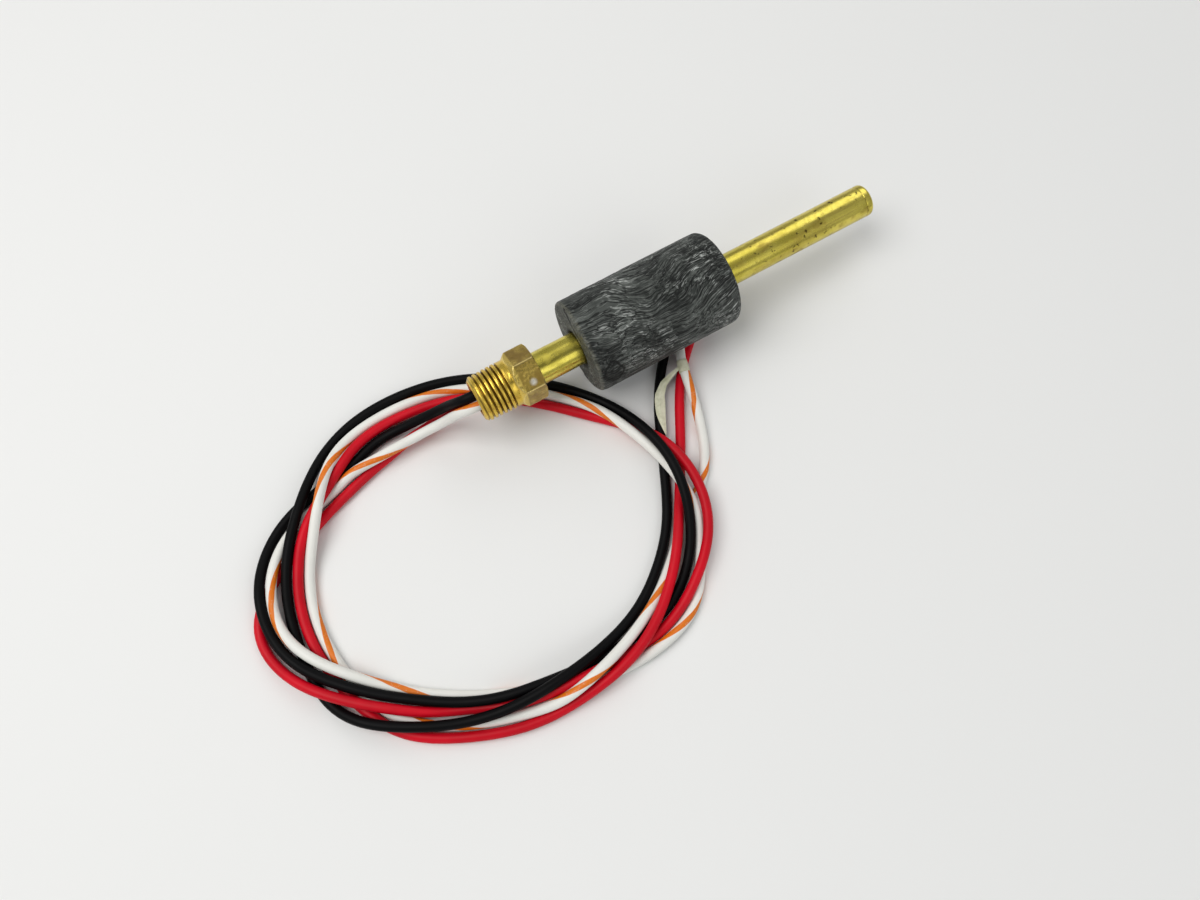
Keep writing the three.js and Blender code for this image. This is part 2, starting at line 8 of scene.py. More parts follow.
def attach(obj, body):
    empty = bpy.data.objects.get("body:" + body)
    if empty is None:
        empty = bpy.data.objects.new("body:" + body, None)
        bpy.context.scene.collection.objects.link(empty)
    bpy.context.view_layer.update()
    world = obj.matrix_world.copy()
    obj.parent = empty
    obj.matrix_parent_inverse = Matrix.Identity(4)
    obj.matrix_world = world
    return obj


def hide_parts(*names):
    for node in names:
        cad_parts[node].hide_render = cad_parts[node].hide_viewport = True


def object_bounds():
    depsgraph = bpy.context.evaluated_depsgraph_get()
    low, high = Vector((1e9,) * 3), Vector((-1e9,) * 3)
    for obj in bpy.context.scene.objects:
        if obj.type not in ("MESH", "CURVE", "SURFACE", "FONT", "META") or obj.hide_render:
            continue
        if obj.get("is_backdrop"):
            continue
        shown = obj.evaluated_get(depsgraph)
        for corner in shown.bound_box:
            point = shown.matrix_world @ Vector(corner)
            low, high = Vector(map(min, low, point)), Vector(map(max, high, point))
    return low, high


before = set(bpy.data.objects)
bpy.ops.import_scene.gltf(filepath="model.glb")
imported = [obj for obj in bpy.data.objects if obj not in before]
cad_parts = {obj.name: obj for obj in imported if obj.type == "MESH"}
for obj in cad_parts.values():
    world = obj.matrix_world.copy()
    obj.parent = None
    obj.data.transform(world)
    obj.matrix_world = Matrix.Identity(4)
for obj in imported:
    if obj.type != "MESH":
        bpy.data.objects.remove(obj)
CAD_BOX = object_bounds()
scene = bpy.context.scene
MM = 0.001

# ------------------------------------------------------------------ camera
cam_data = bpy.data.cameras.new("camera")
cam_data.sensor_width = 36.0
cam_data.sensor_fit = "HORIZONTAL"
cam_data.lens = 939.742 / 1200 * 36.0
cam_data.clip_start = 0.01
cam_data.clip_end = 20
cam = bpy.data.objects.new("camera", cam_data)
scene.collection.objects.link(cam)
E, YAW, ROLL = math.radians(72.62), math.radians(60.066), math.radians(0.4645)
fw = Vector((math.cos(E) * math.cos(YAW), math.cos(E) * math.sin(YAW), -math.sin(E)))
r0 = Vector((math.sin(YAW), -math.cos(YAW), 0))
u0 = r0.cross(fw)
right = r0 * math.cos(ROLL) + u0 * math.sin(ROLL)
up = -r0 * math.sin(ROLL) + u0 * math.cos(ROLL)
CAM = Vector((-79.668, -94.986, 242.710)) * MM
m = Matrix((right, up, -fw)).transposed().to_4x4()
m.translation = CAM
cam.matrix_world = m
scene.camera = cam
FLOOR_Z = -17.36 * MM

# ------------------------------------------------------------------ lead routes, mm
ROUTE_BLACK = [
    (-63.2, 1.14, 1.36), (-64.71, 1.14, 1.36), (-66.11, 1.32, 1.09), (-67.38, 1.65, 0.53), (-68.46, 2.13, -0.33), (-69.35, 2.68, -1.38), (-70.13, 3.26, -2.53), (-70.86, 3.83, -3.72),
    (-71.62, 4.38, -4.89), (-72.47, 4.89, -6.02), (-73.43, 5.35, -7.07), (-74.51, 5.76, -8.03), (-75.66, 6.14, -8.91), (-76.88, 6.5, -9.71), (-78.14, 6.84, -10.46), (-79.43, 7.17, -11.17),
    (-80.74, 7.48, -11.85), (-82.06, 7.78, -12.51), (-83.4, 8.07, -13.14), (-84.75, 8.33, -13.73), (-86.13, 8.58, -14.28), (-87.54, 8.79, -14.75), (-88.98, 8.96, -15.13), (-90.45, 9.04, -15.42),
    (-91.94, 9.03, -15.6), (-93.43, 8.9, -15.71), (-94.91, 8.65, -15.77), (-96.38, 8.32, -15.79), (-97.83, 7.91, -15.8), (-99.26, 7.46, -15.8), (-100.69, 6.99, -15.8), (-102.13, 6.55, -15.8),
    (-103.59, 6.18, -15.8), (-105.06, 5.88, -15.8), (-106.55, 5.64, -15.8), (-108.04, 5.39, -15.8), (-109.52, 5.12, -15.8), (-110.99, 4.81, -15.8), (-112.46, 4.47, -15.8), (-113.92, 4.12, -15.8),
    (-115.38, 3.76, -15.8), (-116.85, 3.41, -15.8), (-118.31, 3.05, -15.8), (-119.77, 2.66, -15.8), (-121.21, 2.23, -15.8), (-122.64, 1.77, -15.8), (-124.06, 1.26, -15.8), (-125.45, 0.69, -15.79),
    (-126.81, 0.06, -15.78), (-128.14, -0.65, -15.74), (-129.43, -1.42, -15.68), (-130.67, -2.26, -15.59), (-131.87, -3.17, -15.48), (-133, -4.14, -15.32), (-134.08, -5.17, -15.14), (-135.1, -6.26, -14.93),
    (-136.05, -7.4, -14.69), (-136.93, -8.59, -14.42), (-137.75, -9.82, -14.13), (-138.5, -11.09, -13.85), (-139.18, -12.4, -13.57), (-139.8, -13.75, -13.31), (-140.35, -15.13, -13.09), (-140.85, -16.54, -12.93),
    (-141.28, -17.97, -12.87), (-141.65, -19.43, -12.88), (-141.96, -20.9, -12.95), (-142.19, -22.38, -13.06), (-142.36, -23.87, -13.18), (-142.44, -25.37, -13.32), (-142.45, -26.86, -13.45), (-142.36, -28.36, -13.55),
    (-142.18, -29.85, -13.6), (-141.91, -31.33, -13.61), (-141.56, -32.79, -13.57), (-141.11, -34.22, -13.48), (-140.58, -35.62, -13.35), (-139.97, -36.99, -13.19), (-139.3, -38.32, -13.02), (-138.55, -39.62, -12.86),
    (-137.75, -40.88, -12.73), (-136.89, -42.12, -12.62), (-135.99, -43.32, -12.54), (-135.06, -44.5, -12.49), (-134.1, -45.66, -12.48), (-133.1, -46.79, -12.5), (-132.09, -47.9, -12.53), (-131.05, -48.99, -12.57),
    (-130, -50.06, -12.63), (-128.92, -51.12, -12.69), (-127.83, -52.15, -12.76), (-126.72, -53.16, -12.85), (-125.59, -54.16, -12.94), (-124.45, -55.14, -13.04), (-123.29, -56.09, -13.13), (-122.12, -57.04, -13.22),
    (-120.93, -57.96, -13.3), (-119.73, -58.87, -13.36), (-118.52, -59.76, -13.41), (-117.31, -60.65, -13.45), (-116.08, -61.53, -13.48), (-114.86, -62.4, -13.49), (-113.62, -63.26, -13.49), (-112.37, -64.1, -13.48),
    (-111.12, -64.93, -13.46), (-109.85, -65.75, -13.43), (-108.56, -66.53, -13.39), (-107.26, -67.29, -13.35), (-105.94, -68.01, -13.31), (-104.61, -68.71, -13.25), (-103.25, -69.37, -13.19), (-101.89, -69.99, -13.13),
    (-100.5, -70.58, -13.05), (-99.1, -71.13, -12.97), (-97.69, -71.64, -12.9), (-96.26, -72.1, -12.83), (-94.81, -72.52, -12.77), (-93.36, -72.9, -12.72), (-91.89, -73.25, -12.7), (-90.42, -73.56, -12.71),
    (-88.94, -73.84, -12.76), (-87.46, -74.09, -12.85), (-85.98, -74.33, -12.97), (-84.5, -74.55, -13.14), (-83.02, -74.76, -13.35), (-81.55, -74.96, -13.58), (-80.07, -75.14, -13.83), (-78.6, -75.32, -14.1),
    (-77.13, -75.49, -14.38), (-75.66, -75.64, -14.65), (-74.18, -75.77, -14.9), (-72.69, -75.87, -15.12), (-71.2, -75.95, -15.31), (-69.7, -76, -15.47), (-68.2, -76.03, -15.59), (-66.7, -76.03, -15.68),
    (-65.2, -76.01, -15.74), (-63.69, -75.96, -15.77), (-62.19, -75.9, -15.79), (-60.68, -75.82, -15.8), (-59.18, -75.72, -15.8), (-57.68, -75.6, -15.8), (-56.18, -75.46, -15.8), (-54.68, -75.29, -15.8),
    (-53.19, -75.09, -15.8), (-51.7, -74.85, -15.8), (-50.23, -74.56, -15.8), (-48.76, -74.22, -15.8), (-47.31, -73.81, -15.8), (-45.88, -73.35, -15.8), (-44.48, -72.8, -15.79), (-43.11, -72.18, -15.78),
    (-41.78, -71.48, -15.76), (-40.49, -70.71, -15.71), (-39.25, -69.87, -15.64), (-38.05, -68.97, -15.52), (-36.91, -68, -15.38), (-35.81, -66.99, -15.19), (-34.77, -65.93, -14.96), (-33.78, -64.83, -14.69),
    (-32.84, -63.7, -14.38), (-31.95, -62.53, -14.04), (-31.12, -61.34, -13.66), (-30.34, -60.11, -13.25), (-29.61, -58.87, -12.82), (-28.94, -57.6, -12.38), (-28.31, -56.3, -11.93), (-27.74, -54.98, -11.49),
    (-27.21, -53.64, -11.07), (-26.73, -52.27, -10.67), (-26.29, -50.88, -10.31), (-25.89, -49.46, -10.01), (-25.54, -48.02, -9.76), (-25.22, -46.56, -9.56), (-24.95, -45.09, -9.43), (-24.73, -43.6, -9.37),
    (-24.55, -42.11, -9.37), (-24.42, -40.61, -9.4), (-24.35, -39.11, -9.47), (-24.34, -37.61, -9.57), (-24.38, -36.11, -9.69), (-24.47, -34.61, -9.84), (-24.62, -33.12, -10.02), (-24.81, -31.64, -10.22),
    (-25.05, -30.18, -10.45), (-25.33, -28.72, -10.72), (-25.64, -27.29, -11.03), (-25.98, -25.87, -11.4), (-26.36, -24.47, -11.8), (-26.78, -23.08, -12.22), (-27.23, -21.71, -12.65), (-27.72, -20.36, -13.08),
    (-28.26, -19.02, -13.51), (-28.84, -17.69, -13.92), (-29.46, -16.37, -14.29), (-30.14, -15.07, -14.63), (-30.86, -13.78, -14.92), (-31.63, -12.51, -15.17), (-32.45, -11.27, -15.37), (-33.31, -10.04, -15.52),
    (-34.2, -8.84, -15.64), (-35.13, -7.65, -15.72), (-36.09, -6.49, -15.77), (-37.08, -5.36, -15.79), (-38.09, -4.24, -15.8), (-39.12, -3.14, -15.8), (-40.17, -2.06, -15.8), (-41.24, -1.01, -15.8),
    (-42.33, 0.03, -15.8), (-43.45, 1.05, -15.8), (-44.58, 2.03, -15.8), (-45.74, 2.99, -15.8), (-46.92, 3.93, -15.8), (-48.12, 4.85, -15.8), (-49.33, 5.74, -15.8), (-50.56, 6.61, -15.8),
    (-51.8, 7.46, -15.8), (-53.06, 8.29, -15.8), (-54.33, 9.1, -15.8), (-55.62, 9.88, -15.8), (-56.92, 10.63, -15.8), (-58.24, 11.36, -15.8), (-59.57, 12.06, -15.8), (-60.92, 12.73, -15.8),
    (-62.28, 13.37, -15.8), (-63.66, 13.97, -15.8), (-65.06, 14.54, -15.8), (-66.47, 15.07, -15.8), (-67.89, 15.56, -15.8), (-69.33, 16.02, -15.8), (-70.77, 16.43, -15.8), (-72.23, 16.81, -15.8),
    (-73.7, 17.15, -15.8), (-75.17, 17.45, -15.8), (-76.66, 17.71, -15.8), (-78.14, 17.94, -15.8), (-79.64, 18.14, -15.8), (-81.13, 18.29, -15.8), (-82.64, 18.42, -15.8), (-84.14, 18.5, -15.8),
    (-85.64, 18.55, -15.8), (-87.15, 18.57, -15.8), (-88.65, 18.54, -15.8), (-90.16, 18.48, -15.8), (-91.66, 18.37, -15.8), (-93.16, 18.22, -15.8), (-94.65, 18.02, -15.8), (-96.14, 17.77, -15.8),
    (-97.61, 17.47, -15.8), (-99.07, 17.12, -15.8), (-100.52, 16.7, -15.79), (-101.95, 16.23, -15.78), (-103.36, 15.7, -15.75), (-104.74, 15.11, -15.7), (-106.09, 14.46, -15.62), (-107.42, 13.75, -15.51),
    (-108.7, 12.98, -15.37), (-109.94, 12.16, -15.19), (-111.14, 11.27, -14.98), (-112.29, 10.33, -14.73), (-113.4, 9.35, -14.45), (-114.47, 8.34, -14.16), (-115.51, 7.3, -13.84), (-116.53, 6.23, -13.52),
    (-117.53, 5.15, -13.21), (-118.51, 4.04, -12.95), (-119.5, 2.92, -12.73), (-120.47, 1.79, -12.57), (-121.44, 0.64, -12.44), (-122.4, -0.51, -12.35), (-123.37, -1.66, -12.3), (-124.33, -2.82, -12.28),
    (-125.28, -3.99, -12.29), (-126.21, -5.18, -12.32), (-127.11, -6.38, -12.37), (-127.98, -7.61, -12.44), (-128.83, -8.85, -12.54), (-129.65, -10.11, -12.67), (-130.43, -11.38, -12.83), (-131.17, -12.68, -13.03),
    (-131.89, -13.98, -13.25), (-132.57, -15.3, -13.51), (-133.23, -16.62, -13.8), (-133.84, -17.96, -14.11), (-134.42, -19.32, -14.41), (-134.94, -20.7, -14.69), (-135.41, -22.11, -14.95), (-135.83, -23.54, -15.17),
    (-136.2, -24.98, -15.35), (-136.52, -26.45, -15.51), (-136.79, -27.92, -15.62), (-137.02, -29.41, -15.71), (-137.22, -30.9, -15.76), (-137.39, -32.4, -15.79), (-137.53, -33.89, -15.8), (-137.65, -35.4, -15.8),
    (-137.74, -36.9, -15.8), (-137.82, -38.4, -15.8), (-137.87, -39.91, -15.8), (-137.89, -41.41, -15.8), (-137.87, -42.92, -15.8), (-137.79, -44.42, -15.8), (-137.65, -45.92, -15.8), (-137.44, -47.41, -15.79),
    (-137.14, -48.88, -15.74), (-136.74, -50.32, -15.63), (-136.24, -51.73, -15.45), (-135.64, -53.08, -15.22), (-134.96, -54.39, -14.94), (-134.18, -55.64, -14.64), (-133.33, -56.84, -14.31), (-132.41, -57.98, -13.98),
    (-131.42, -59.06, -13.67), (-130.36, -60.1, -13.4), (-129.25, -61.09, -13.17), (-128.09, -62.03, -12.98), (-126.9, -62.93, -12.83), (-125.67, -63.8, -12.73), (-124.42, -64.64, -12.68), (-123.15, -65.45, -12.65),
    (-121.87, -66.23, -12.64), (-120.57, -66.99, -12.64), (-119.26, -67.73, -12.65), (-117.93, -68.45, -12.66), (-116.6, -69.15, -12.68), (-115.25, -69.82, -12.7), (-113.89, -70.47, -12.72), (-112.52, -71.08, -12.74),
    (-111.13, -71.67, -12.76), (-109.73, -72.23, -12.76), (-108.32, -72.75, -12.76), (-106.9, -73.24, -12.75), (-105.46, -73.7, -12.71), (-104.02, -74.12, -12.65), (-102.57, -74.5, -12.55), (-101.11, -74.85, -12.44),
    (-99.64, -75.16, -12.29), (-98.17, -75.44, -12.11), (-96.7, -75.68, -11.9), (-95.22, -75.88, -11.68), (-93.74, -76.04, -11.46), (-92.26, -76.17, -11.23), (-90.77, -76.26, -11.02), (-89.28, -76.32, -10.82),
    (-87.78, -76.35, -10.67), (-86.28, -76.35, -10.56), (-84.78, -76.32, -10.5), (-83.28, -76.26, -10.48), (-81.77, -76.18, -10.53), (-80.28, -76.07, -10.63), (-78.78, -75.95, -10.78), (-77.3, -75.8, -10.98),
    (-75.82, -75.64, -11.22), (-74.35, -75.47, -11.5), (-72.89, -75.27, -11.81), (-71.44, -75.05, -12.14), (-69.99, -74.81, -12.46), (-68.54, -74.55, -12.8), (-67.1, -74.26, -13.13), (-65.67, -73.94, -13.46),
    (-64.23, -73.6, -13.78), (-62.81, -73.24, -14.09), (-61.38, -72.85, -14.39), (-59.97, -72.42, -14.66), (-58.56, -71.95, -14.91), (-57.15, -71.45, -15.13), (-55.76, -70.91, -15.31), (-54.39, -70.31, -15.47),
    (-53.03, -69.67, -15.59), (-51.7, -68.99, -15.68), (-50.39, -68.25, -15.74), (-49.1, -67.47, -15.78), (-47.84, -66.65, -15.79), (-46.6, -65.79, -15.8), (-45.4, -64.89, -15.8), (-44.21, -63.96, -15.8),
    (-43.05, -63, -15.8), (-41.91, -62.02, -15.8), (-40.79, -61.01, -15.8), (-39.7, -59.97, -15.8), (-38.63, -58.91, -15.8), (-37.59, -57.82, -15.8), (-36.58, -56.71, -15.8), (-35.61, -55.56, -15.8),
    (-34.68, -54.37, -15.8), (-33.8, -53.15, -15.8), (-32.95, -51.91, -15.8), (-32.14, -50.64, -15.8), (-31.37, -49.34, -15.8), (-30.63, -48.03, -15.8), (-29.92, -46.7, -15.8), (-29.23, -45.36, -15.8),
    (-28.56, -44.02, -15.8), (-27.9, -42.66, -15.8), (-27.25, -41.3, -15.8), (-26.61, -39.94, -15.8), (-25.96, -38.58, -15.8), (-25.32, -37.22, -15.8), (-24.68, -35.86, -15.8), (-24.04, -34.49, -15.8),
    (-23.4, -33.13, -15.8), (-22.76, -31.77, -15.8), (-22.12, -30.4, -15.8), (-21.48, -29.04, -15.8), (-20.84, -27.67, -15.8), (-20.19, -26.31, -15.8), (-19.53, -24.96, -15.8), (-18.85, -23.62, -15.8),
    (-18.14, -22.29, -15.8), (-17.4, -20.98, -15.8), (-16.63, -19.68, -15.8), (-15.83, -18.41, -15.8), (-15, -17.15, -15.8), (-14.14, -15.92, -15.8), (-13.24, -14.71, -15.8), (-12.32, -13.52, -15.8),
    (-11.37, -12.35, -15.8), (-10.39, -11.2, -15.8), (-9.4, -10.07, -15.8), (-8.39, -8.96, -15.8), (-7.37, -7.85, -15.8), (-6.34, -6.75, -15.8), (-5.31, -5.65, -15.8), (-4.3, -4.53, -15.8),
    (-3.32, -3.39, -15.8), (-2.37, -2.22, -15.8), (-1.46, -1.02, -15.8), (-0.61, 0.22, -15.8), (0.17, 1.5, -15.8), (0.88, 2.83, -15.8), (1.49, 4.2, -15.8), (1.99, 5.62, -15.8),
    (2.35, 7.07, -15.8), (2.61, 8.55, -15.8), (2.8, 10.05, -15.8), (2.98, 11.54, -15.8),
]
ROUTE_RED = [
    (-63.2, 0.61, -1.66), (-64.71, 0.61, -1.66), (-66.02, 0.74, -2.09), (-67.14, 1, -2.85), (-68.07, 1.38, -3.92), (-68.88, 1.82, -5.1), (-69.65, 2.3, -6.31), (-70.41, 2.77, -7.52),
    (-71.21, 3.24, -8.7), (-72.06, 3.7, -9.86), (-72.99, 4.12, -10.95), (-74.01, 4.52, -11.98), (-75.14, 4.86, -12.91), (-76.36, 5.15, -13.73), (-77.67, 5.36, -14.41), (-79.06, 5.48, -14.94),
    (-80.5, 5.52, -15.32), (-81.98, 5.46, -15.57), (-83.47, 5.33, -15.71), (-84.95, 5.11, -15.77), (-86.43, 4.84, -15.79), (-87.9, 4.51, -15.8), (-89.36, 4.13, -15.8), (-90.81, 3.74, -15.8),
    (-92.27, 3.35, -15.8), (-93.73, 2.99, -15.8), (-95.2, 2.67, -15.8), (-96.67, 2.35, -15.8), (-98.14, 2.01, -15.8), (-99.59, 1.63, -15.8), (-101.04, 1.22, -15.8), (-102.49, 0.79, -15.8),
    (-103.93, 0.34, -15.8), (-105.36, -0.11, -15.79), (-106.79, -0.57, -15.79), (-108.22, -1.05, -15.8), (-109.65, -1.52, -15.8), (-111.08, -2, -15.8), (-112.5, -2.5, -15.8), (-113.92, -3, -15.8),
    (-115.33, -3.53, -15.8), (-116.73, -4.08, -15.8), (-118.13, -4.65, -15.8), (-119.52, -5.23, -15.8), (-120.9, -5.84, -15.8), (-122.27, -6.45, -15.8), (-123.64, -7.09, -15.8), (-125, -7.73, -15.8),
    (-126.35, -8.39, -15.8), (-127.7, -9.06, -15.8), (-129.04, -9.75, -15.8), (-130.37, -10.46, -15.8), (-131.69, -11.18, -15.8), (-133, -11.93, -15.8), (-134.29, -12.7, -15.8), (-135.56, -13.51, -15.8),
    (-136.81, -14.34, -15.8), (-138.03, -15.22, -15.8), (-139.22, -16.15, -15.8), (-140.36, -17.13, -15.8), (-141.43, -18.19, -15.8), (-142.42, -19.31, -15.8), (-143.33, -20.5, -15.8), (-144.13, -21.77, -15.8),
    (-144.78, -23.12, -15.8), (-145.28, -24.53, -15.8), (-145.63, -25.99, -15.79), (-145.83, -27.47, -15.77), (-145.89, -28.97, -15.72), (-145.81, -30.46, -15.64), (-145.61, -31.95, -15.54), (-145.31, -33.41, -15.4),
    (-144.91, -34.85, -15.22), (-144.42, -36.25, -15.02), (-143.85, -37.63, -14.78), (-143.22, -38.97, -14.52), (-142.53, -40.27, -14.24), (-141.78, -41.54, -13.93), (-140.98, -42.78, -13.64), (-140.13, -43.99, -13.36),
    (-139.23, -45.17, -13.12), (-138.29, -46.33, -12.91), (-137.31, -47.46, -12.74), (-136.3, -48.57, -12.61), (-135.26, -49.65, -12.52), (-134.2, -50.72, -12.47), (-133.12, -51.77, -12.44), (-132.03, -52.8, -12.43),
    (-130.91, -53.82, -12.43), (-129.79, -54.81, -12.44), (-128.64, -55.79, -12.47), (-127.49, -56.76, -12.52), (-126.32, -57.7, -12.59), (-125.14, -58.63, -12.68), (-123.95, -59.55, -12.81), (-122.76, -60.45, -12.98),
    (-121.57, -61.35, -13.22), (-120.38, -62.22, -13.49), (-119.17, -63.07, -13.79), (-117.95, -63.9, -14.1), (-116.71, -64.68, -14.41), (-115.44, -65.44, -14.72), (-114.15, -66.17, -15), (-112.84, -66.86, -15.24),
    (-111.5, -67.52, -15.45), (-110.15, -68.15, -15.61), (-108.78, -68.78, -15.72), (-107.41, -69.39, -15.78), (-106.04, -70.01, -15.8), (-104.66, -70.63, -15.79), (-103.29, -71.24, -15.77), (-101.92, -71.86, -15.72),
    (-100.55, -72.48, -15.61), (-99.18, -73.1, -15.47), (-97.81, -73.7, -15.3), (-96.44, -74.28, -15.09), (-95.06, -74.83, -14.87), (-93.67, -75.35, -14.62), (-92.26, -75.83, -14.37), (-90.84, -76.27, -14.12),
    (-89.41, -76.66, -13.88), (-87.97, -77.01, -13.64), (-86.51, -77.31, -13.42), (-85.04, -77.56, -13.24), (-83.55, -77.78, -13.08), (-82.06, -77.96, -12.96), (-80.57, -78.11, -12.87), (-79.07, -78.23, -12.82),
    (-77.57, -78.34, -12.82), (-76.07, -78.43, -12.85), (-74.56, -78.5, -12.93), (-73.06, -78.57, -13.04), (-71.57, -78.62, -13.19), (-70.07, -78.66, -13.38), (-68.58, -78.7, -13.59), (-67.1, -78.73, -13.83),
    (-65.62, -78.75, -14.1), (-64.14, -78.77, -14.37), (-62.65, -78.78, -14.65), (-61.17, -78.78, -14.9), (-59.69, -78.76, -15.15), (-58.2, -78.73, -15.36), (-56.7, -78.66, -15.54), (-55.21, -78.55, -15.67),
    (-53.71, -78.41, -15.75), (-52.22, -78.22, -15.78), (-50.74, -77.97, -15.77), (-49.27, -77.65, -15.7), (-47.82, -77.27, -15.59), (-46.39, -76.82, -15.42), (-44.99, -76.31, -15.22), (-43.62, -75.74, -14.98),
    (-42.28, -75.11, -14.71), (-40.97, -74.43, -14.41), (-39.69, -73.7, -14.12), (-38.43, -72.94, -13.82), (-37.19, -72.13, -13.53), (-35.98, -71.28, -13.26), (-34.78, -70.41, -13.02), (-33.59, -69.5, -12.83),
    (-32.43, -68.56, -12.68), (-31.29, -67.58, -12.57), (-30.18, -66.57, -12.49), (-29.1, -65.52, -12.44), (-28.06, -64.43, -12.43), (-27.06, -63.3, -12.42), (-26.13, -62.13, -12.43), (-25.25, -60.9, -12.44),
    (-24.44, -59.64, -12.46), (-23.7, -58.33, -12.47), (-23.02, -56.99, -12.49), (-22.42, -55.61, -12.49), (-21.89, -54.2, -12.49), (-21.44, -52.77, -12.49), (-21.06, -51.31, -12.48), (-20.77, -49.84, -12.46),
    (-20.55, -48.35, -12.43), (-20.4, -46.85, -12.39), (-20.32, -45.35, -12.33), (-20.31, -43.85, -12.27), (-20.37, -42.35, -12.21), (-20.5, -40.85, -12.16), (-20.7, -39.36, -12.12), (-20.97, -37.88, -12.1),
    (-21.31, -36.42, -12.13), (-21.71, -34.97, -12.22), (-22.16, -33.55, -12.39), (-22.67, -32.16, -12.65), (-23.24, -30.8, -12.97), (-23.86, -29.48, -13.33), (-24.54, -28.2, -13.72), (-25.28, -26.95, -14.12),
    (-26.07, -25.74, -14.52), (-26.92, -24.55, -14.89), (-27.83, -23.4, -15.19), (-28.8, -22.27, -15.43), (-29.81, -21.17, -15.61), (-30.85, -20.09, -15.73), (-31.9, -19.02, -15.78), (-32.97, -17.96, -15.8),
    (-34.05, -16.91, -15.8), (-35.13, -15.86, -15.8), (-36.21, -14.81, -15.8), (-37.29, -13.76, -15.8), (-38.37, -12.71, -15.8), (-39.45, -11.66, -15.79), (-40.52, -10.6, -15.79), (-41.59, -9.54, -15.78),
    (-42.66, -8.48, -15.77), (-43.74, -7.43, -15.77), (-44.84, -6.4, -15.77), (-45.94, -5.38, -15.78), (-47.06, -4.37, -15.79), (-48.19, -3.37, -15.79), (-49.34, -2.4, -15.8), (-50.5, -1.44, -15.8),
    (-51.67, -0.49, -15.8), (-52.86, 0.43, -15.8), (-54.07, 1.33, -15.79), (-55.29, 2.21, -15.78), (-56.53, 3.06, -15.76), (-57.79, 3.89, -15.74), (-59.06, 4.69, -15.71), (-60.36, 5.46, -15.68),
    (-61.67, 6.19, -15.64), (-63.01, 6.89, -15.61), (-64.36, 7.55, -15.58), (-65.73, 8.17, -15.56), (-67.12, 8.75, -15.55), (-68.53, 9.28, -15.54), (-69.95, 9.76, -15.55), (-71.39, 10.21, -15.56),
    (-72.84, 10.61, -15.57), (-74.31, 10.96, -15.58), (-75.78, 11.27, -15.6), (-77.26, 11.55, -15.61), (-78.75, 11.78, -15.61), (-80.24, 11.99, -15.61), (-81.73, 12.16, -15.6), (-83.23, 12.29, -15.58),
    (-84.74, 12.39, -15.54), (-86.24, 12.45, -15.49), (-87.74, 12.46, -15.43), (-89.25, 12.42, -15.34), (-90.74, 12.31, -15.23), (-92.23, 12.14, -15.09), (-93.71, 11.91, -14.92), (-95.16, 11.6, -14.73),
    (-96.6, 11.21, -14.5), (-98, 10.73, -14.25), (-99.37, 10.18, -13.97), (-100.71, 9.56, -13.7), (-102.03, 8.87, -13.46), (-103.32, 8.12, -13.25), (-104.58, 7.32, -13.07), (-105.83, 6.5, -12.94),
    (-107.08, 5.66, -12.85), (-108.33, 4.82, -12.79), (-109.58, 3.98, -12.78), (-110.83, 3.14, -12.77), (-112.08, 2.3, -12.77), (-113.33, 1.47, -12.76), (-114.58, 0.63, -12.76), (-115.82, -0.23, -12.75),
    (-117.04, -1.11, -12.73), (-118.25, -2.01, -12.72), (-119.42, -2.95, -12.71), (-120.57, -3.93, -12.71), (-121.67, -4.96, -12.72), (-122.72, -6.03, -12.75), (-123.72, -7.15, -12.8), (-124.68, -8.31, -12.88),
    (-125.58, -9.51, -12.99), (-126.43, -10.74, -13.13), (-127.24, -12, -13.31), (-128, -13.28, -13.51), (-128.74, -14.57, -13.73), (-129.44, -15.88, -13.98), (-130.1, -17.21, -14.23), (-130.72, -18.56, -14.49),
    (-131.29, -19.93, -14.73), (-131.81, -21.32, -14.95), (-132.27, -22.74, -15.16), (-132.68, -24.18, -15.34), (-133.03, -25.63, -15.48), (-133.33, -27.1, -15.6), (-133.56, -28.59, -15.68), (-133.74, -30.08, -15.74),
    (-133.85, -31.58, -15.78), (-133.92, -33.08, -15.8), (-133.93, -34.59, -15.8), (-133.89, -36.09, -15.8), (-133.81, -37.6, -15.8), (-133.68, -39.1, -15.8), (-133.52, -40.59, -15.8), (-133.32, -42.09, -15.8),
    (-133.08, -43.57, -15.8), (-132.81, -45.05, -15.8), (-132.51, -46.53, -15.8), (-132.17, -48, -15.8), (-131.81, -49.46, -15.8), (-131.41, -50.91, -15.8), (-130.97, -52.35, -15.8), (-130.49, -53.78, -15.8),
    (-129.98, -55.19, -15.8), (-129.43, -56.59, -15.8), (-128.84, -57.98, -15.8), (-128.2, -59.34, -15.8), (-127.52, -60.68, -15.8), (-126.79, -62, -15.8), (-126, -63.28, -15.8), (-125.15, -64.52, -15.8),
    (-124.23, -65.71, -15.8), (-123.25, -66.85, -15.8), (-122.21, -67.94, -15.8), (-121.11, -68.96, -15.8), (-119.96, -69.93, -15.8), (-118.76, -70.84, -15.8), (-117.53, -71.7, -15.8), (-116.26, -72.52, -15.8),
    (-114.97, -73.3, -15.8), (-113.66, -74.04, -15.8), (-112.33, -74.75, -15.8), (-110.99, -75.43, -15.8), (-109.64, -76.1, -15.8), (-108.28, -76.74, -15.8), (-106.91, -77.36, -15.8), (-105.52, -77.95, -15.8),
    (-104.13, -78.52, -15.8), (-102.73, -79.07, -15.8), (-101.31, -79.59, -15.8), (-99.89, -80.08, -15.8), (-98.46, -80.54, -15.8), (-97.02, -80.97, -15.8), (-95.56, -81.37, -15.8), (-94.1, -81.72, -15.8),
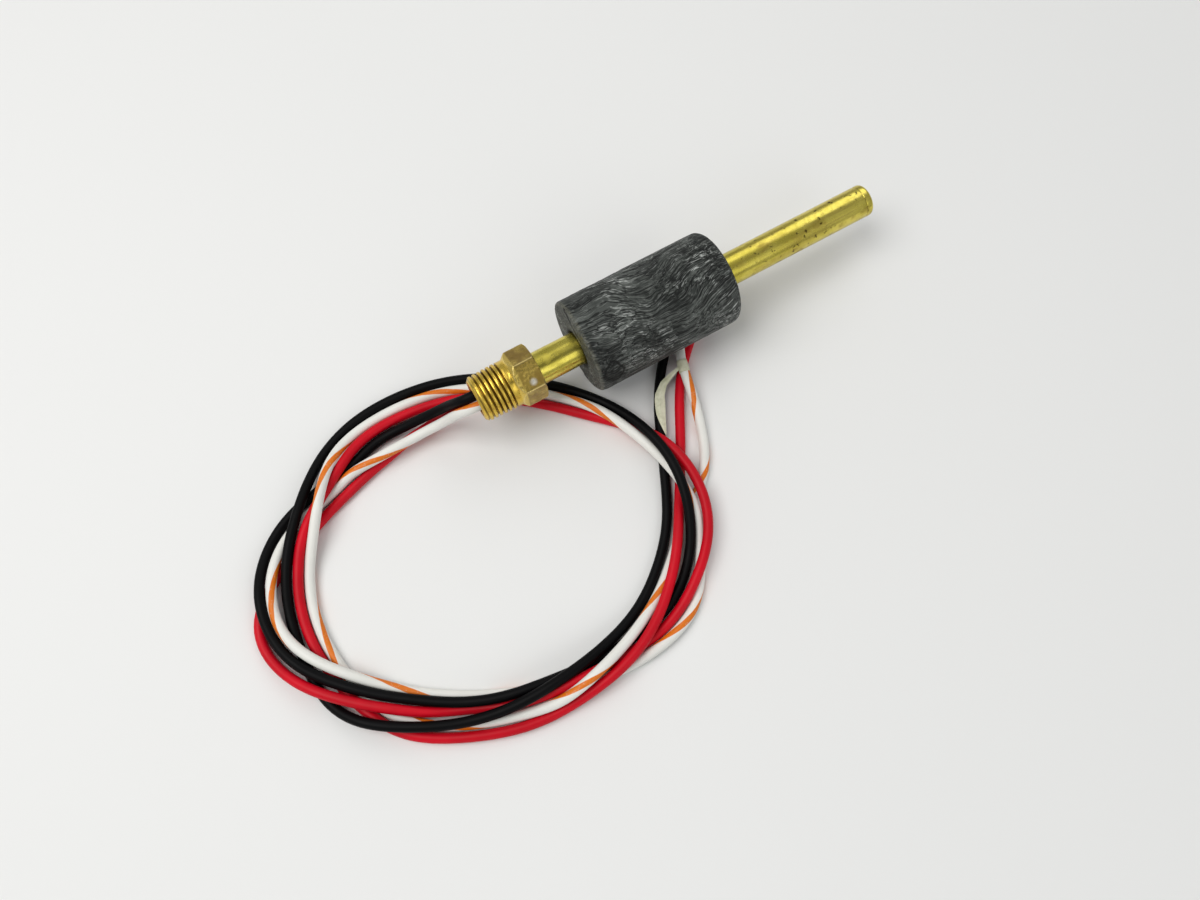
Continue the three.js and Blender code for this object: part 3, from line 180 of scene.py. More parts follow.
    (-92.62, -82.02, -15.8), (-91.14, -82.29, -15.8), (-89.65, -82.5, -15.79), (-88.16, -82.68, -15.77), (-86.66, -82.81, -15.72), (-85.16, -82.89, -15.64), (-83.66, -82.95, -15.54), (-82.16, -82.97, -15.4),
    (-80.66, -82.96, -15.23), (-79.17, -82.92, -15.03), (-77.68, -82.87, -14.79), (-76.2, -82.79, -14.53), (-74.73, -82.69, -14.24), (-73.26, -82.58, -13.93), (-71.79, -82.43, -13.63), (-70.33, -82.26, -13.34),
    (-68.86, -82.06, -13.07), (-67.39, -81.82, -12.82), (-65.93, -81.54, -12.62), (-64.47, -81.22, -12.46), (-63.01, -80.85, -12.35), (-61.57, -80.44, -12.28), (-60.14, -79.97, -12.25), (-58.73, -79.45, -12.26),
    (-57.34, -78.88, -12.3), (-55.97, -78.26, -12.36), (-54.62, -77.59, -12.43), (-53.3, -76.87, -12.5), (-52, -76.11, -12.56), (-50.72, -75.31, -12.63), (-49.48, -74.47, -12.69), (-48.26, -73.59, -12.74),
    (-47.06, -72.68, -12.79), (-45.89, -71.74, -12.83), (-44.74, -70.77, -12.85), (-43.61, -69.77, -12.86), (-42.5, -68.75, -12.86), (-41.42, -67.71, -12.86), (-40.35, -66.64, -12.84), (-39.31, -65.55, -12.81),
    (-38.3, -64.44, -12.78), (-37.31, -63.3, -12.75), (-36.35, -62.14, -12.73), (-35.42, -60.96, -12.72), (-34.52, -59.76, -12.72), (-33.63, -58.54, -12.76), (-32.77, -57.31, -12.85), (-31.92, -56.07, -12.99),
    (-31.09, -54.83, -13.18), (-30.27, -53.59, -13.42), (-29.46, -52.36, -13.72), (-28.65, -51.14, -14.07), (-27.84, -49.93, -14.44), (-27.03, -48.71, -14.8), (-26.22, -47.48, -15.11), (-25.4, -46.24, -15.36),
    (-24.58, -45, -15.56), (-23.77, -43.74, -15.7), (-22.95, -42.48, -15.77), (-22.14, -41.21, -15.8), (-21.33, -39.94, -15.8), (-20.54, -38.66, -15.8), (-19.75, -37.38, -15.8), (-18.97, -36.09, -15.8),
    (-18.21, -34.79, -15.8), (-17.45, -33.49, -15.8), (-16.7, -32.18, -15.8), (-15.96, -30.87, -15.8), (-15.23, -29.55, -15.8), (-14.49, -28.24, -15.8), (-13.75, -26.93, -15.8), (-13.01, -25.62, -15.8),
    (-12.25, -24.32, -15.8), (-11.48, -23.02, -15.8), (-10.69, -21.74, -15.8), (-9.87, -20.48, -15.8), (-9.03, -19.23, -15.8), (-8.15, -18.01, -15.8), (-7.24, -16.81, -15.8), (-6.29, -15.64, -15.8),
    (-5.31, -14.5, -15.8), (-4.29, -13.39, -15.8), (-3.24, -12.31, -15.8), (-2.16, -11.26, -15.8), (-1.06, -10.24, -15.8), (0.05, -9.22, -15.8), (1.17, -8.21, -15.8), (2.29, -7.2, -15.8),
    (3.4, -6.19, -15.8), (4.49, -5.15, -15.8), (5.56, -4.09, -15.8), (6.58, -2.99, -15.8), (7.56, -1.85, -15.8), (8.47, -0.65, -15.8), (9.31, 0.6, -15.8), (10.05, 1.91, -15.8),
    (10.7, 3.26, -15.8), (11.24, 4.66, -15.8), (11.65, 6.1, -15.8), (11.95, 7.57, -15.8), (12.19, 9.06, -15.8), (12.42, 10.55, -15.8),
]
ROUTE_WHITE = [
    (-63.2, -1.74, 0.31), (-64.7, -1.74, 0.31), (-66.16, -1.61, 0.11), (-67.53, -1.34, -0.3), (-68.76, -0.93, -0.98), (-69.82, -0.45, -1.89), (-70.74, 0.04, -2.96), (-71.55, 0.5, -4.13),
    (-72.33, 0.95, -5.34), (-73.15, 1.37, -6.53), (-74.04, 1.78, -7.66), (-75.04, 2.17, -8.7), (-76.14, 2.52, -9.65), (-77.34, 2.84, -10.5), (-78.61, 3.12, -11.24), (-79.95, 3.35, -11.86),
    (-81.35, 3.52, -12.35), (-82.8, 3.62, -12.7), (-84.29, 3.64, -12.9), (-85.78, 3.62, -12.97), (-87.28, 3.56, -12.96), (-88.79, 3.49, -12.9), (-90.29, 3.42, -12.83), (-91.79, 3.36, -12.78),
    (-93.29, 3.31, -12.77), (-94.8, 3.28, -12.79), (-96.3, 3.27, -12.85), (-97.8, 3.28, -12.97), (-99.29, 3.29, -13.15), (-100.77, 3.31, -13.39), (-102.25, 3.3, -13.67), (-103.72, 3.23, -13.98),
    (-105.17, 3.06, -14.31), (-106.6, 2.75, -14.63), (-108.01, 2.33, -14.94), (-109.41, 1.87, -15.21), (-110.83, 1.43, -15.43), (-112.26, 1.01, -15.59), (-113.71, 0.61, -15.69), (-115.16, 0.22, -15.75),
    (-116.61, -0.17, -15.78), (-118.07, -0.56, -15.79), (-119.52, -0.97, -15.78), (-120.95, -1.41, -15.74), (-122.37, -1.9, -15.66), (-123.76, -2.46, -15.53), (-125.12, -3.08, -15.37), (-126.44, -3.77, -15.17),
    (-127.7, -4.54, -14.94), (-128.91, -5.39, -14.67), (-130.06, -6.31, -14.37), (-131.15, -7.3, -14.07), (-132.17, -8.35, -13.78), (-133.14, -9.47, -13.5), (-134.04, -10.64, -13.24), (-134.88, -11.87, -13.02),
    (-135.66, -13.14, -12.86), (-136.38, -14.45, -12.76), (-137.04, -15.8, -12.71), (-137.62, -17.19, -12.71), (-138.14, -18.6, -12.74), (-138.57, -20.03, -12.81), (-138.93, -21.49, -12.89), (-139.18, -22.97, -12.96),
    (-139.33, -24.46, -13.01), (-139.37, -25.96, -13.02), (-139.29, -27.46, -13), (-139.11, -28.95, -12.96), (-138.81, -30.41, -12.91), (-138.41, -31.86, -12.84), (-137.91, -33.27, -12.77), (-137.33, -34.66, -12.7),
    (-136.68, -36.01, -12.63), (-135.95, -37.33, -12.57), (-135.18, -38.61, -12.52), (-134.35, -39.87, -12.48), (-133.48, -41.09, -12.45), (-132.57, -42.29, -12.45), (-131.64, -43.47, -12.48), (-130.68, -44.62, -12.55),
    (-129.7, -45.76, -12.67), (-128.71, -46.88, -12.85), (-127.71, -47.98, -13.07), (-126.7, -49.07, -13.33), (-125.69, -50.14, -13.62), (-124.67, -51.2, -13.94), (-123.64, -52.24, -14.26), (-122.59, -53.28, -14.55),
    (-121.52, -54.3, -14.82), (-120.43, -55.31, -15.06), (-119.32, -56.3, -15.27), (-118.18, -57.28, -15.44), (-117.03, -58.24, -15.58), (-115.86, -59.18, -15.68), (-114.68, -60.1, -15.75), (-113.47, -61, -15.78),
    (-112.25, -61.88, -15.8), (-111.02, -62.74, -15.8), (-109.77, -63.57, -15.8), (-108.51, -64.39, -15.8), (-107.23, -65.19, -15.8), (-105.94, -65.97, -15.8), (-104.64, -66.73, -15.8), (-103.33, -67.46, -15.8),
    (-102.01, -68.17, -15.8), (-100.67, -68.87, -15.8), (-99.33, -69.55, -15.8), (-97.98, -70.21, -15.8), (-96.62, -70.86, -15.8), (-95.26, -71.5, -15.8), (-93.89, -72.13, -15.8), (-92.52, -72.75, -15.8),
    (-91.15, -73.37, -15.8), (-89.77, -73.97, -15.8), (-88.39, -74.56, -15.8), (-87, -75.14, -15.8), (-85.61, -75.71, -15.8), (-84.21, -76.26, -15.8), (-82.8, -76.8, -15.8), (-81.39, -77.32, -15.8),
    (-79.97, -77.81, -15.8), (-78.54, -78.29, -15.8), (-77.1, -78.74, -15.8), (-75.66, -79.16, -15.8), (-74.21, -79.56, -15.8), (-72.75, -79.93, -15.8), (-71.29, -80.27, -15.8), (-69.82, -80.59, -15.8),
    (-68.34, -80.87, -15.8), (-66.86, -81.13, -15.8), (-65.37, -81.34, -15.79), (-63.88, -81.52, -15.78), (-62.38, -81.65, -15.74), (-60.88, -81.74, -15.69), (-59.38, -81.78, -15.64), (-57.87, -81.77, -15.57),
    (-56.37, -81.72, -15.5), (-54.87, -81.61, -15.43), (-53.38, -81.45, -15.37), (-51.89, -81.26, -15.33), (-50.41, -81.01, -15.3), (-48.93, -80.72, -15.29), (-47.47, -80.37, -15.29), (-46.02, -79.96, -15.32),
    (-44.6, -79.48, -15.37), (-43.21, -78.92, -15.43), (-41.85, -78.28, -15.51), (-40.54, -77.55, -15.58), (-39.29, -76.72, -15.66), (-38.1, -75.81, -15.72), (-36.98, -74.82, -15.77), (-35.93, -73.75, -15.79),
    (-34.95, -72.61, -15.8), (-34.03, -71.42, -15.79), (-33.16, -70.2, -15.78), (-32.32, -68.95, -15.75), (-31.52, -67.68, -15.69), (-30.75, -66.39, -15.6), (-30, -65.09, -15.47), (-29.26, -63.79, -15.31),
    (-28.54, -62.48, -15.1), (-27.86, -61.17, -14.86), (-27.21, -59.84, -14.59), (-26.61, -58.5, -14.28), (-26.06, -57.14, -13.94), (-25.57, -55.76, -13.61), (-25.16, -54.35, -13.31), (-24.84, -52.9, -13.06),
    (-24.6, -51.43, -12.85), (-24.45, -49.95, -12.7), (-24.37, -48.45, -12.58), (-24.38, -46.95, -12.51), (-24.45, -45.45, -12.48), (-24.57, -43.95, -12.48), (-24.73, -42.46, -12.51), (-24.92, -40.96, -12.55),
    (-25.14, -39.48, -12.61), (-25.39, -38, -12.68), (-25.68, -36.52, -12.75), (-26, -35.05, -12.82), (-26.34, -33.59, -12.88), (-26.73, -32.14, -12.93), (-27.15, -30.7, -12.95), (-27.62, -29.27, -12.94),
    (-28.12, -27.85, -12.91), (-28.65, -26.44, -12.87), (-29.2, -25.04, -12.83), (-29.76, -23.65, -12.77), (-30.35, -22.26, -12.73), (-30.95, -20.89, -12.72), (-31.59, -19.52, -12.74), (-32.24, -18.17, -12.82),
    (-32.93, -16.84, -12.94), (-33.65, -15.53, -13.11), (-34.41, -14.25, -13.32), (-35.21, -13.01, -13.58), (-36.05, -11.79, -13.87), (-36.92, -10.6, -14.16), (-37.84, -9.45, -14.44), (-38.79, -8.32, -14.71),
    (-39.78, -7.21, -14.97), (-40.8, -6.13, -15.2), (-41.85, -5.06, -15.39), (-42.91, -4.02, -15.55), (-44.01, -2.99, -15.67), (-45.12, -1.98, -15.75), (-46.24, -0.98, -15.79), (-47.38, -0, -15.8),
    (-48.54, 0.96, -15.8), (-49.71, 1.9, -15.8), (-50.9, 2.82, -15.8), (-52.11, 3.72, -15.8), (-53.33, 4.6, -15.8), (-54.57, 5.45, -15.8), (-55.82, 6.28, -15.8), (-57.1, 7.08, -15.8),
    (-58.39, 7.86, -15.8), (-59.7, 8.6, -15.8), (-61.02, 9.31, -15.8), (-62.36, 9.99, -15.8), (-63.72, 10.63, -15.8), (-65.1, 11.24, -15.8), (-66.49, 11.81, -15.8), (-67.9, 12.34, -15.8),
    (-69.32, 12.82, -15.8), (-70.76, 13.26, -15.8), (-72.21, 13.66, -15.8), (-73.68, 14, -15.8), (-75.15, 14.31, -15.8), (-76.63, 14.58, -15.8), (-78.11, 14.81, -15.8), (-79.6, 15.01, -15.8),
    (-81.1, 15.18, -15.8), (-82.6, 15.3, -15.8), (-84.1, 15.4, -15.8), (-85.6, 15.45, -15.8), (-87.11, 15.47, -15.8), (-88.61, 15.45, -15.78), (-90.11, 15.38, -15.75), (-91.61, 15.26, -15.68),
    (-93.1, 15.09, -15.57), (-94.57, 14.86, -15.42), (-96.03, 14.56, -15.22), (-97.47, 14.2, -14.97), (-98.88, 13.77, -14.67), (-100.25, 13.27, -14.33), (-101.58, 12.68, -13.94), (-102.85, 12.03, -13.5),
    (-104.08, 11.29, -13.03), (-105.25, 10.49, -12.54), (-106.36, 9.62, -12.05), (-107.43, 8.67, -11.56), (-108.44, 7.67, -11.09), (-109.43, 6.61, -10.68), (-110.38, 5.51, -10.33), (-111.31, 4.36, -10.05),
    (-112.22, 3.18, -9.86), (-113.12, 1.99, -9.75), (-114.03, 0.79, -9.73), (-114.92, -0.42, -9.8), (-115.82, -1.62, -9.95), (-116.71, -2.81, -10.17), (-117.59, -3.98, -10.47), (-118.47, -5.15, -10.83),
    (-119.35, -6.3, -11.25), (-120.23, -7.43, -11.7), (-121.1, -8.56, -12.18), (-121.97, -9.68, -12.68), (-122.83, -10.81, -13.17), (-123.68, -11.96, -13.64), (-124.5, -13.14, -14.07), (-125.3, -14.35, -14.47),
    (-126.05, -15.61, -14.81), (-126.75, -16.9, -15.09), (-127.4, -18.24, -15.32), (-127.99, -19.61, -15.49), (-128.52, -21.01, -15.62), (-128.99, -22.44, -15.71), (-129.4, -23.88, -15.76), (-129.76, -25.34, -15.78),
    (-130.06, -26.81, -15.79), (-130.3, -28.3, -15.8), (-130.49, -29.79, -15.8), (-130.63, -31.29, -15.8), (-130.72, -32.79, -15.8), (-130.75, -34.29, -15.8), (-130.74, -35.8, -15.8), (-130.67, -37.3, -15.8),
    (-130.56, -38.8, -15.8), (-130.42, -40.3, -15.8), (-130.23, -41.79, -15.8), (-130.01, -43.28, -15.8), (-129.75, -44.76, -15.8), (-129.45, -46.23, -15.8), (-129.12, -47.7, -15.8), (-128.74, -49.15, -15.8),
    (-128.33, -50.6, -15.8), (-127.87, -52.03, -15.8), (-127.36, -53.45, -15.8), (-126.82, -54.85, -15.8), (-126.22, -56.23, -15.8), (-125.59, -57.59, -15.8), (-124.91, -58.94, -15.8), (-124.17, -60.24, -15.8),
    (-123.37, -61.51, -15.8), (-122.49, -62.73, -15.8), (-121.55, -63.91, -15.8), (-120.55, -65.02, -15.8), (-119.48, -66.08, -15.8), (-118.36, -67.08, -15.8), (-117.18, -68.01, -15.8), (-115.96, -68.89, -15.8),
    (-114.71, -69.73, -15.8), (-113.43, -70.52, -15.8), (-112.13, -71.28, -15.8), (-110.81, -72, -15.8), (-109.47, -72.68, -15.8), (-108.12, -73.35, -15.8), (-106.76, -73.98, -15.8), (-105.38, -74.59, -15.8),
    (-103.99, -75.16, -15.8), (-102.59, -75.72, -15.79), (-101.18, -76.24, -15.78), (-99.77, -76.74, -15.75), (-98.34, -77.23, -15.69), (-96.91, -77.69, -15.6), (-95.48, -78.13, -15.47), (-94.05, -78.55, -15.29),
    (-92.62, -78.95, -15.07), (-91.19, -79.34, -14.8), (-89.77, -79.7, -14.47), (-88.35, -80.03, -14.09), (-86.94, -80.32, -13.67), (-85.53, -80.56, -13.21), (-84.12, -80.74, -12.71), (-82.71, -80.85, -12.21),
    (-81.28, -80.88, -11.76), (-79.84, -80.83, -11.34), (-78.38, -80.7, -10.98), (-76.92, -80.52, -10.69), (-75.45, -80.29, -10.47), (-73.98, -80.02, -10.33), (-72.51, -79.71, -10.26), (-71.05, -79.37, -10.27),
    (-69.59, -79.01, -10.34), (-68.14, -78.63, -10.48), (-66.71, -78.23, -10.67), (-65.28, -77.8, -10.89), (-63.87, -77.36, -11.14), (-62.46, -76.9, -11.42), (-61.07, -76.42, -11.71), (-59.68, -75.92, -12.01),
    (-58.31, -75.39, -12.31), (-56.94, -74.83, -12.62), (-55.59, -74.25, -12.92), (-54.25, -73.64, -13.23), (-52.92, -73, -13.55), (-51.61, -72.34, -13.88), (-50.31, -71.65, -14.19), (-49.03, -70.92, -14.49),
    (-47.76, -70.16, -14.75), (-46.51, -69.36, -14.99), (-45.28, -68.53, -15.2), (-44.06, -67.66, -15.38), (-42.86, -66.76, -15.53), (-41.68, -65.84, -15.63), (-40.52, -64.89, -15.71), (-39.37, -63.92, -15.76),
    (-38.23, -62.94, -15.79), (-37.09, -61.95, -15.8), (-35.97, -60.95, -15.8), (-34.84, -59.96, -15.8), (-33.71, -58.96, -15.8), (-32.58, -57.97, -15.8), (-31.44, -56.99, -15.8), (-30.29, -56.02, -15.8),
    (-29.14, -55.05, -15.8), (-27.97, -54.1, -15.8), (-26.79, -53.16, -15.8), (-25.6, -52.25, -15.8), (-24.37, -51.38, -15.8), (-23.13, -50.54, -15.8), (-21.88, -49.7, -15.8), (-20.66, -48.81, -15.8),
    (-19.49, -47.87, -15.8), (-18.38, -46.86, -15.8), (-17.32, -45.79, -15.8), (-16.34, -44.66, -15.8), (-15.43, -43.46, -15.8), (-14.6, -42.21, -15.8), (-13.83, -40.92, -15.79), (-13.12, -39.6, -15.78),
    (-12.45, -38.25, -15.75), (-11.84, -36.88, -15.71), (-11.26, -35.49, -15.64), (-10.72, -34.09, -15.54), (-10.21, -32.68, -15.42), (-9.74, -31.26, -15.27), (-9.3, -29.84, -15.09), (-8.89, -28.4, -14.88),
    (-8.51, -26.97, -14.63), (-8.15, -25.53, -14.37), (-7.82, -24.09, -14.1), (-7.51, -22.65, -13.81), (-7.22, -21.2, -13.52), (-6.93, -19.75, -13.25), (-6.63, -18.29, -13.03), (-6.3, -16.83, -12.9),
    (-5.93, -15.38, -12.85), (-5.5, -13.94, -12.9), (-5, -12.54, -13.03), (-4.39, -11.18, -13.25), (-3.7, -9.89, -13.56), (-2.94, -8.65, -13.91), (-2.11, -7.45, -14.28), (-1.23, -6.28, -14.65),
    (-0.32, -5.15, -15.01), (0.62, -4.01, -15.32), (1.54, -2.86, -15.57), (2.45, -1.67, -15.71), (3.32, -0.44, -15.78), (4.14, 0.81, -15.8), (4.89, 2.11, -15.8), (5.58, 3.45, -15.8),
    (6.17, 4.83, -15.8), (6.68, 6.24, -15.8), (7.07, 7.69, -15.8), (7.33, 9.17, -15.8), (7.48, 10.66, -15.8), (7.57, 12.16, -15.8), (7.65, 13.66, -15.8),
]


# ------------------------------------------------------------------ mesh helpers
def mesh_object(name, verts, faces, uvs=None, smooth=True, mat=None):
    me = bpy.data.meshes.new(name)
    me.from_pydata([tuple(v) for v in verts], [], [tuple(f) for f in faces])
    me.update()
    if uvs is not None:
        layer = me.uv_layers.new(name="UVMap")
        k = 0
        for f in uvs:
            for uv in f:
                layer.data[k].uv = uv
                k += 1
    if smooth:
        me.polygons.foreach_set("use_smooth", [True] * len(me.polygons))
    ob = bpy.data.objects.new(name, me)
    scene.collection.objects.link(ob)
    if mat is not None:
        me.materials.append(mat)
    return ob


def frames_for(P):
    P = np.asarray(P, float)
    T = np.gradient(P, axis=0)
    T /= np.linalg.norm(T, axis=1)[:, None]
    D = np.array(CAM) - P
    N = D - (D * T).sum(1)[:, None] * T
    N /= np.linalg.norm(N, axis=1)[:, None]
    B = np.cross(T, N)
    s = np.concatenate([[0], np.cumsum(np.linalg.norm(np.diff(P, axis=0), axis=1))])
    return P, T, N, B, s


def tube(name, points, radius, sides=20, turn=None, mat=None, profile=None, round_ends=True):
    """A closed tube in metres. UV: u goes round (shifted by turn), v is the length in units of 0.1 m."""
    P, T, N, B, s = frames_for(points)
    n = len(P)
    verts, uv_ring = [], []
    rad = np.full(n, radius) if profile is None else np.asarray(profile, float)
    for i in range(n):
        tw = 0.0 if turn is None else turn(s[i])
        for k in range(sides):
            a = 2 * math.pi * k / sides
            verts.append(P[i] + rad[i] * (math.cos(a) * N[i] + math.sin(a) * B[i]))
        uv_ring.append(tw)
    faces, uvs = [], []
    for i in range(n - 1):
        for k in range(sides):
            k2 = (k + 1) % sides
            faces.append((i * sides + k, (i + 1) * sides + k, (i + 1) * sides + k2, i * sides + k2))
            ua, ub = k / sides, (k + 1) / sides
            t0, t1 = uv_ring[i], uv_ring[i + 1]
            uvs.append(((ua - t0, s[i] * 10), (ua - t1, s[i + 1] * 10), (ub - t1, s[i + 1] * 10), (ub - t0, s[i] * 10)))
    for end, base in ((0, 0), (n - 1, (n - 1) * sides)):
        c = len(verts)
        sign = -1 if end == 0 else 1
        inner = []
        for k in range(sides):
            a = 2 * math.pi * k / sides
            verts.append(P[end] + rad[end] * 0.88 * (math.cos(a) * N[end] + math.sin(a) * B[end]) + sign * T[end] * rad[end] * 0.1)
            inner.append(c + k)
        cc = len(verts)
        verts.append(P[end] + sign * T[end] * rad[end] * 0.1)
        for k in range(sides):
            k2 = (k + 1) % sides
            q = (base + k, base + k2, inner[k2], inner[k])
            tri = (inner[k], inner[k2], cc)
            if end == 0:
                q, tri = q[::-1], tri[::-1]
            # outward for the far end is base->inner in this order
            faces.append(q[::-1] if end == 0 else q)
            uvs.append(((0.25, s[end] * 10),) * 4)
            faces.append(tri[::-1] if end == 0 else tri)
            uvs.append(((0.25, s[end] * 10),) * 3)
    # put the near end the right way round
    ob = mesh_object(name, verts, faces, uvs, True, mat)
    import bmesh
    bm = bmesh.new()
    bm.from_mesh(ob.data)
    bmesh.ops.recalc_face_normals(bm, faces=bm.faces)
    bm.to_mesh(ob.data)
    bm.free()
    return ob


def ring_loft(name, rings, closed=True, mat=None, uv=None, smooth=True):
    """rings: arrays (k, 3) round the x axis, in order along the surface. closed joins the last ring to the first."""
    import bmesh
    n, k = len(rings), len(rings[0])
    verts = np.concatenate(rings)
    faces, uvs = [], []
    last = n if closed else n - 1
    for i in range(last):
        j = (i + 1) % n
        for a in range(k):
            b = (a + 1) % k
            faces.append((i * k + a, i * k + b, j * k + b, j * k + a))
            if uv is not None:
                ua, ub = a / k, (a + 1) / k
                uvs.append(((ua, uv[i][a]), (ub, uv[i][b]), (ub, uv[j][b]), (ua, uv[j][a])))
    ob = mesh_object(name, verts, faces, uvs if uv is not None else None, smooth, mat)
    bm = bmesh.new()
    bm.from_mesh(ob.data)
    bmesh.ops.recalc_face_normals(bm, faces=bm.faces)
    bm.to_mesh(ob.data)
    bm.free()
    return ob


def turned(name, profile, sides=128, mat=None, wobble=None, smooth=True):
    """profile: [(r, x)] in mm. Ends on the axis are closed to a point; otherwise the loop closes on itself."""
    prof = [tuple(p) for p in profile]
    on_axis = prof[0][0] == 0 and prof[-1][0] == 0
    body = prof[1:-1] if on_axis else prof
    rings = []
    for r, x in body:
        a = 2 * np.pi * np.arange(sides) / sides
        rr = np.full(sides, r, float)
        xx = np.full(sides, x, float)
        if wobble is not None:
            rr, xx = wobble(rr, xx, a)
        rings.append(np.stack([xx, rr * np.cos(a), rr * np.sin(a)], -1) * MM)
    import bmesh
    if not on_axis:
        return ring_loft(name, rings, True, mat, None, smooth)
    verts = [*np.concatenate(rings), np.array([prof[0][1], 0, 0]) * MM, np.array([prof[-1][1], 0, 0]) * MM]
    n, k = len(rings), sides
    faces = []
    for i in range(n - 1):
        for a in range(k):
            b = (a + 1) % k
            faces.append((i * k + a, i * k + b, (i + 1) * k + b, (i + 1) * k + a))
    for a in range(k):
        b = (a + 1) % k
        faces.append((b, a, n * k))
        faces.append(((n - 1) * k + a, (n - 1) * k + b, n * k + 1))
    ob = mesh_object(name, verts, faces, None, smooth, mat)
    bm = bmesh.new()
    bm.from_mesh(ob.data)
    bmesh.ops.recalc_face_normals(bm, faces=bm.faces)
    bm.to_mesh(ob.data)
    bm.free()
    return ob


# ------------------------------------------------------------------ material helper
class M:
    def __init__(self, name, **sockets):
        self.m = bpy.data.materials.new(name)
        self.m.use_nodes = True
        self.t = self.m.node_tree
        self.t.nodes.clear()
        self.out = self.t.nodes.new("ShaderNodeOutputMaterial")
        self.b = self.t.nodes.new("ShaderNodeBsdfPrincipled")
        self.t.links.new(self.b.outputs[0], self.out.inputs[0])
        for k, v in sockets.items():
            self.b.inputs[k.replace("_", " ")].default_value = v
        self._tc = None

    def put(self, socket, value):
        if isinstance(value, bpy.types.NodeSocket):
            self.t.links.new(value, self.b.inputs[socket])
        else:
            self.b.inputs[socket].default_value = value

    def tc(self, which="Object"):
        if self._tc is None:
            self._tc = self.t.nodes.new("ShaderNodeTexCoord")
        return self._tc.outputs[which]

    def mapping(self, src, scale=(1, 1, 1), rot=(0, 0, 0), loc=(0, 0, 0)):
        n = self.t.nodes.new("ShaderNodeMapping")
        self.t.links.new(src, n.inputs[0])
        n.inputs["Scale"].default_value = scale
        n.inputs["Rotation"].default_value = rot
        n.inputs["Location"].default_value = loc
        return n.outputs[0]

    def noise(self, src, scale, detail=3, rough=0.5, distortion=0.0, colour=False):
        n = self.t.nodes.new("ShaderNodeTexNoise")
        self.t.links.new(src, n.inputs["Vector"])
        n.inputs["Scale"].default_value = scale
        n.inputs["Detail"].default_value = detail
        n.inputs["Roughness"].default_value = rough
        n.inputs["Distortion"].default_value = distortion
        return n.outputs["Color" if colour else "Fac"]

    def math(self, op, a, b=0.0, c=0.0, clamp=False):
        n = self.t.nodes.new("ShaderNodeMath")
        n.operation = op
        n.use_clamp = clamp
        for i, v in enumerate((a, b, c)):
            if isinstance(v, bpy.types.NodeSocket):
                self.t.links.new(v, n.inputs[i])
            else:
                n.inputs[i].default_value = v
        return n.outputs[0]

    def vmath(self, op, a, b=(0, 0, 0)):
        n = self.t.nodes.new("ShaderNodeVectorMath")
        n.operation = op
        for i, v in enumerate((a, b)):
            if isinstance(v, bpy.types.NodeSocket):
                self.t.links.new(v, n.inputs[i])
            elif op == "SCALE" and i == 1:
                n.inputs["Scale"].default_value = v
            else:
                n.inputs[i].default_value = v
        return n.outputs["Value"] if op in ("LENGTH", "DOT_PRODUCT") else n.outputs[0]

    def sep(self, v):
        n = self.t.nodes.new("ShaderNodeSeparateXYZ")
        self.t.links.new(v, n.inputs[0])
        return n.outputs

    def comb(self, x, y, z):
        n = self.t.nodes.new("ShaderNodeCombineXYZ")
        for i, v in enumerate((x, y, z)):
            if isinstance(v, bpy.types.NodeSocket):
                self.t.links.new(v, n.inputs[i])
            else:
                n.inputs[i].default_value = v
        return n.outputs[0]

    def ramp(self, fac, stops, interp="LINEAR"):
        n = self.t.nodes.new("ShaderNodeValToRGB")
        self.t.links.new(fac, n.inputs[0])
        cr = n.color_ramp
        cr.interpolation = interp
        while len(cr.elements) < len(stops):
            cr.elements.new(0.5)
        for e, (p, c) in zip(cr.elements, stops):
            e.position = p
            e.color = (*c, 1) if len(c) == 3 else c
        return n.outputs[0]

    def step(self, v, lo, hi):
        n = self.t.nodes.new("ShaderNodeMapRange")
        n.interpolation_type = "SMOOTHSTEP"
        n.clamp = True
        self.t.links.new(v, n.inputs["Value"])
        n.inputs["From Min"].default_value = lo
        n.inputs["From Max"].default_value = hi
        return n.outputs["Result"]

    def mix(self, fac, a, b, blend="MIX"):
        n = self.t.nodes.new("ShaderNodeMix")
        n.data_type = "RGBA"
        n.blend_type = blend
        for key, v in ((0, fac), (6, a), (7, b)):
            if isinstance(v, bpy.types.NodeSocket):
                self.t.links.new(v, n.inputs[key])
            elif key == 0:
                n.inputs[0].default_value = v
            else:
                n.inputs[key].default_value = (*v, 1)
        return n.outputs[2]

    def bump(self, height, strength=0.3, distance=0.0001, normal=None):
        n = self.t.nodes.new("ShaderNodeBump")
        n.inputs["Strength"].default_value = strength
        n.inputs["Distance"].default_value = distance
        self.t.links.new(height, n.inputs["Height"])
        if normal is not None:
            self.t.links.new(normal, n.inputs["Normal"])
        return n.outputs[0]

    def around(self):
        """The x, y and z and the radius, in metres, of the point in the part's frame."""
        o = self.sep(self.tc())
        r = self.math("SQRT", self.math("ADD", self.math("MULTIPLY", o[1], o[1]), self.math("MULTIPLY", o[2], o[2])))
        return o, r


def srgb(r, g, b):
    f = lambda c: ((c / 255) / 12.92 if c / 255 <= 0.04045 else ((c / 255 + 0.055) / 1.055) ** 2.4)
    return (f(r), f(g), f(b))


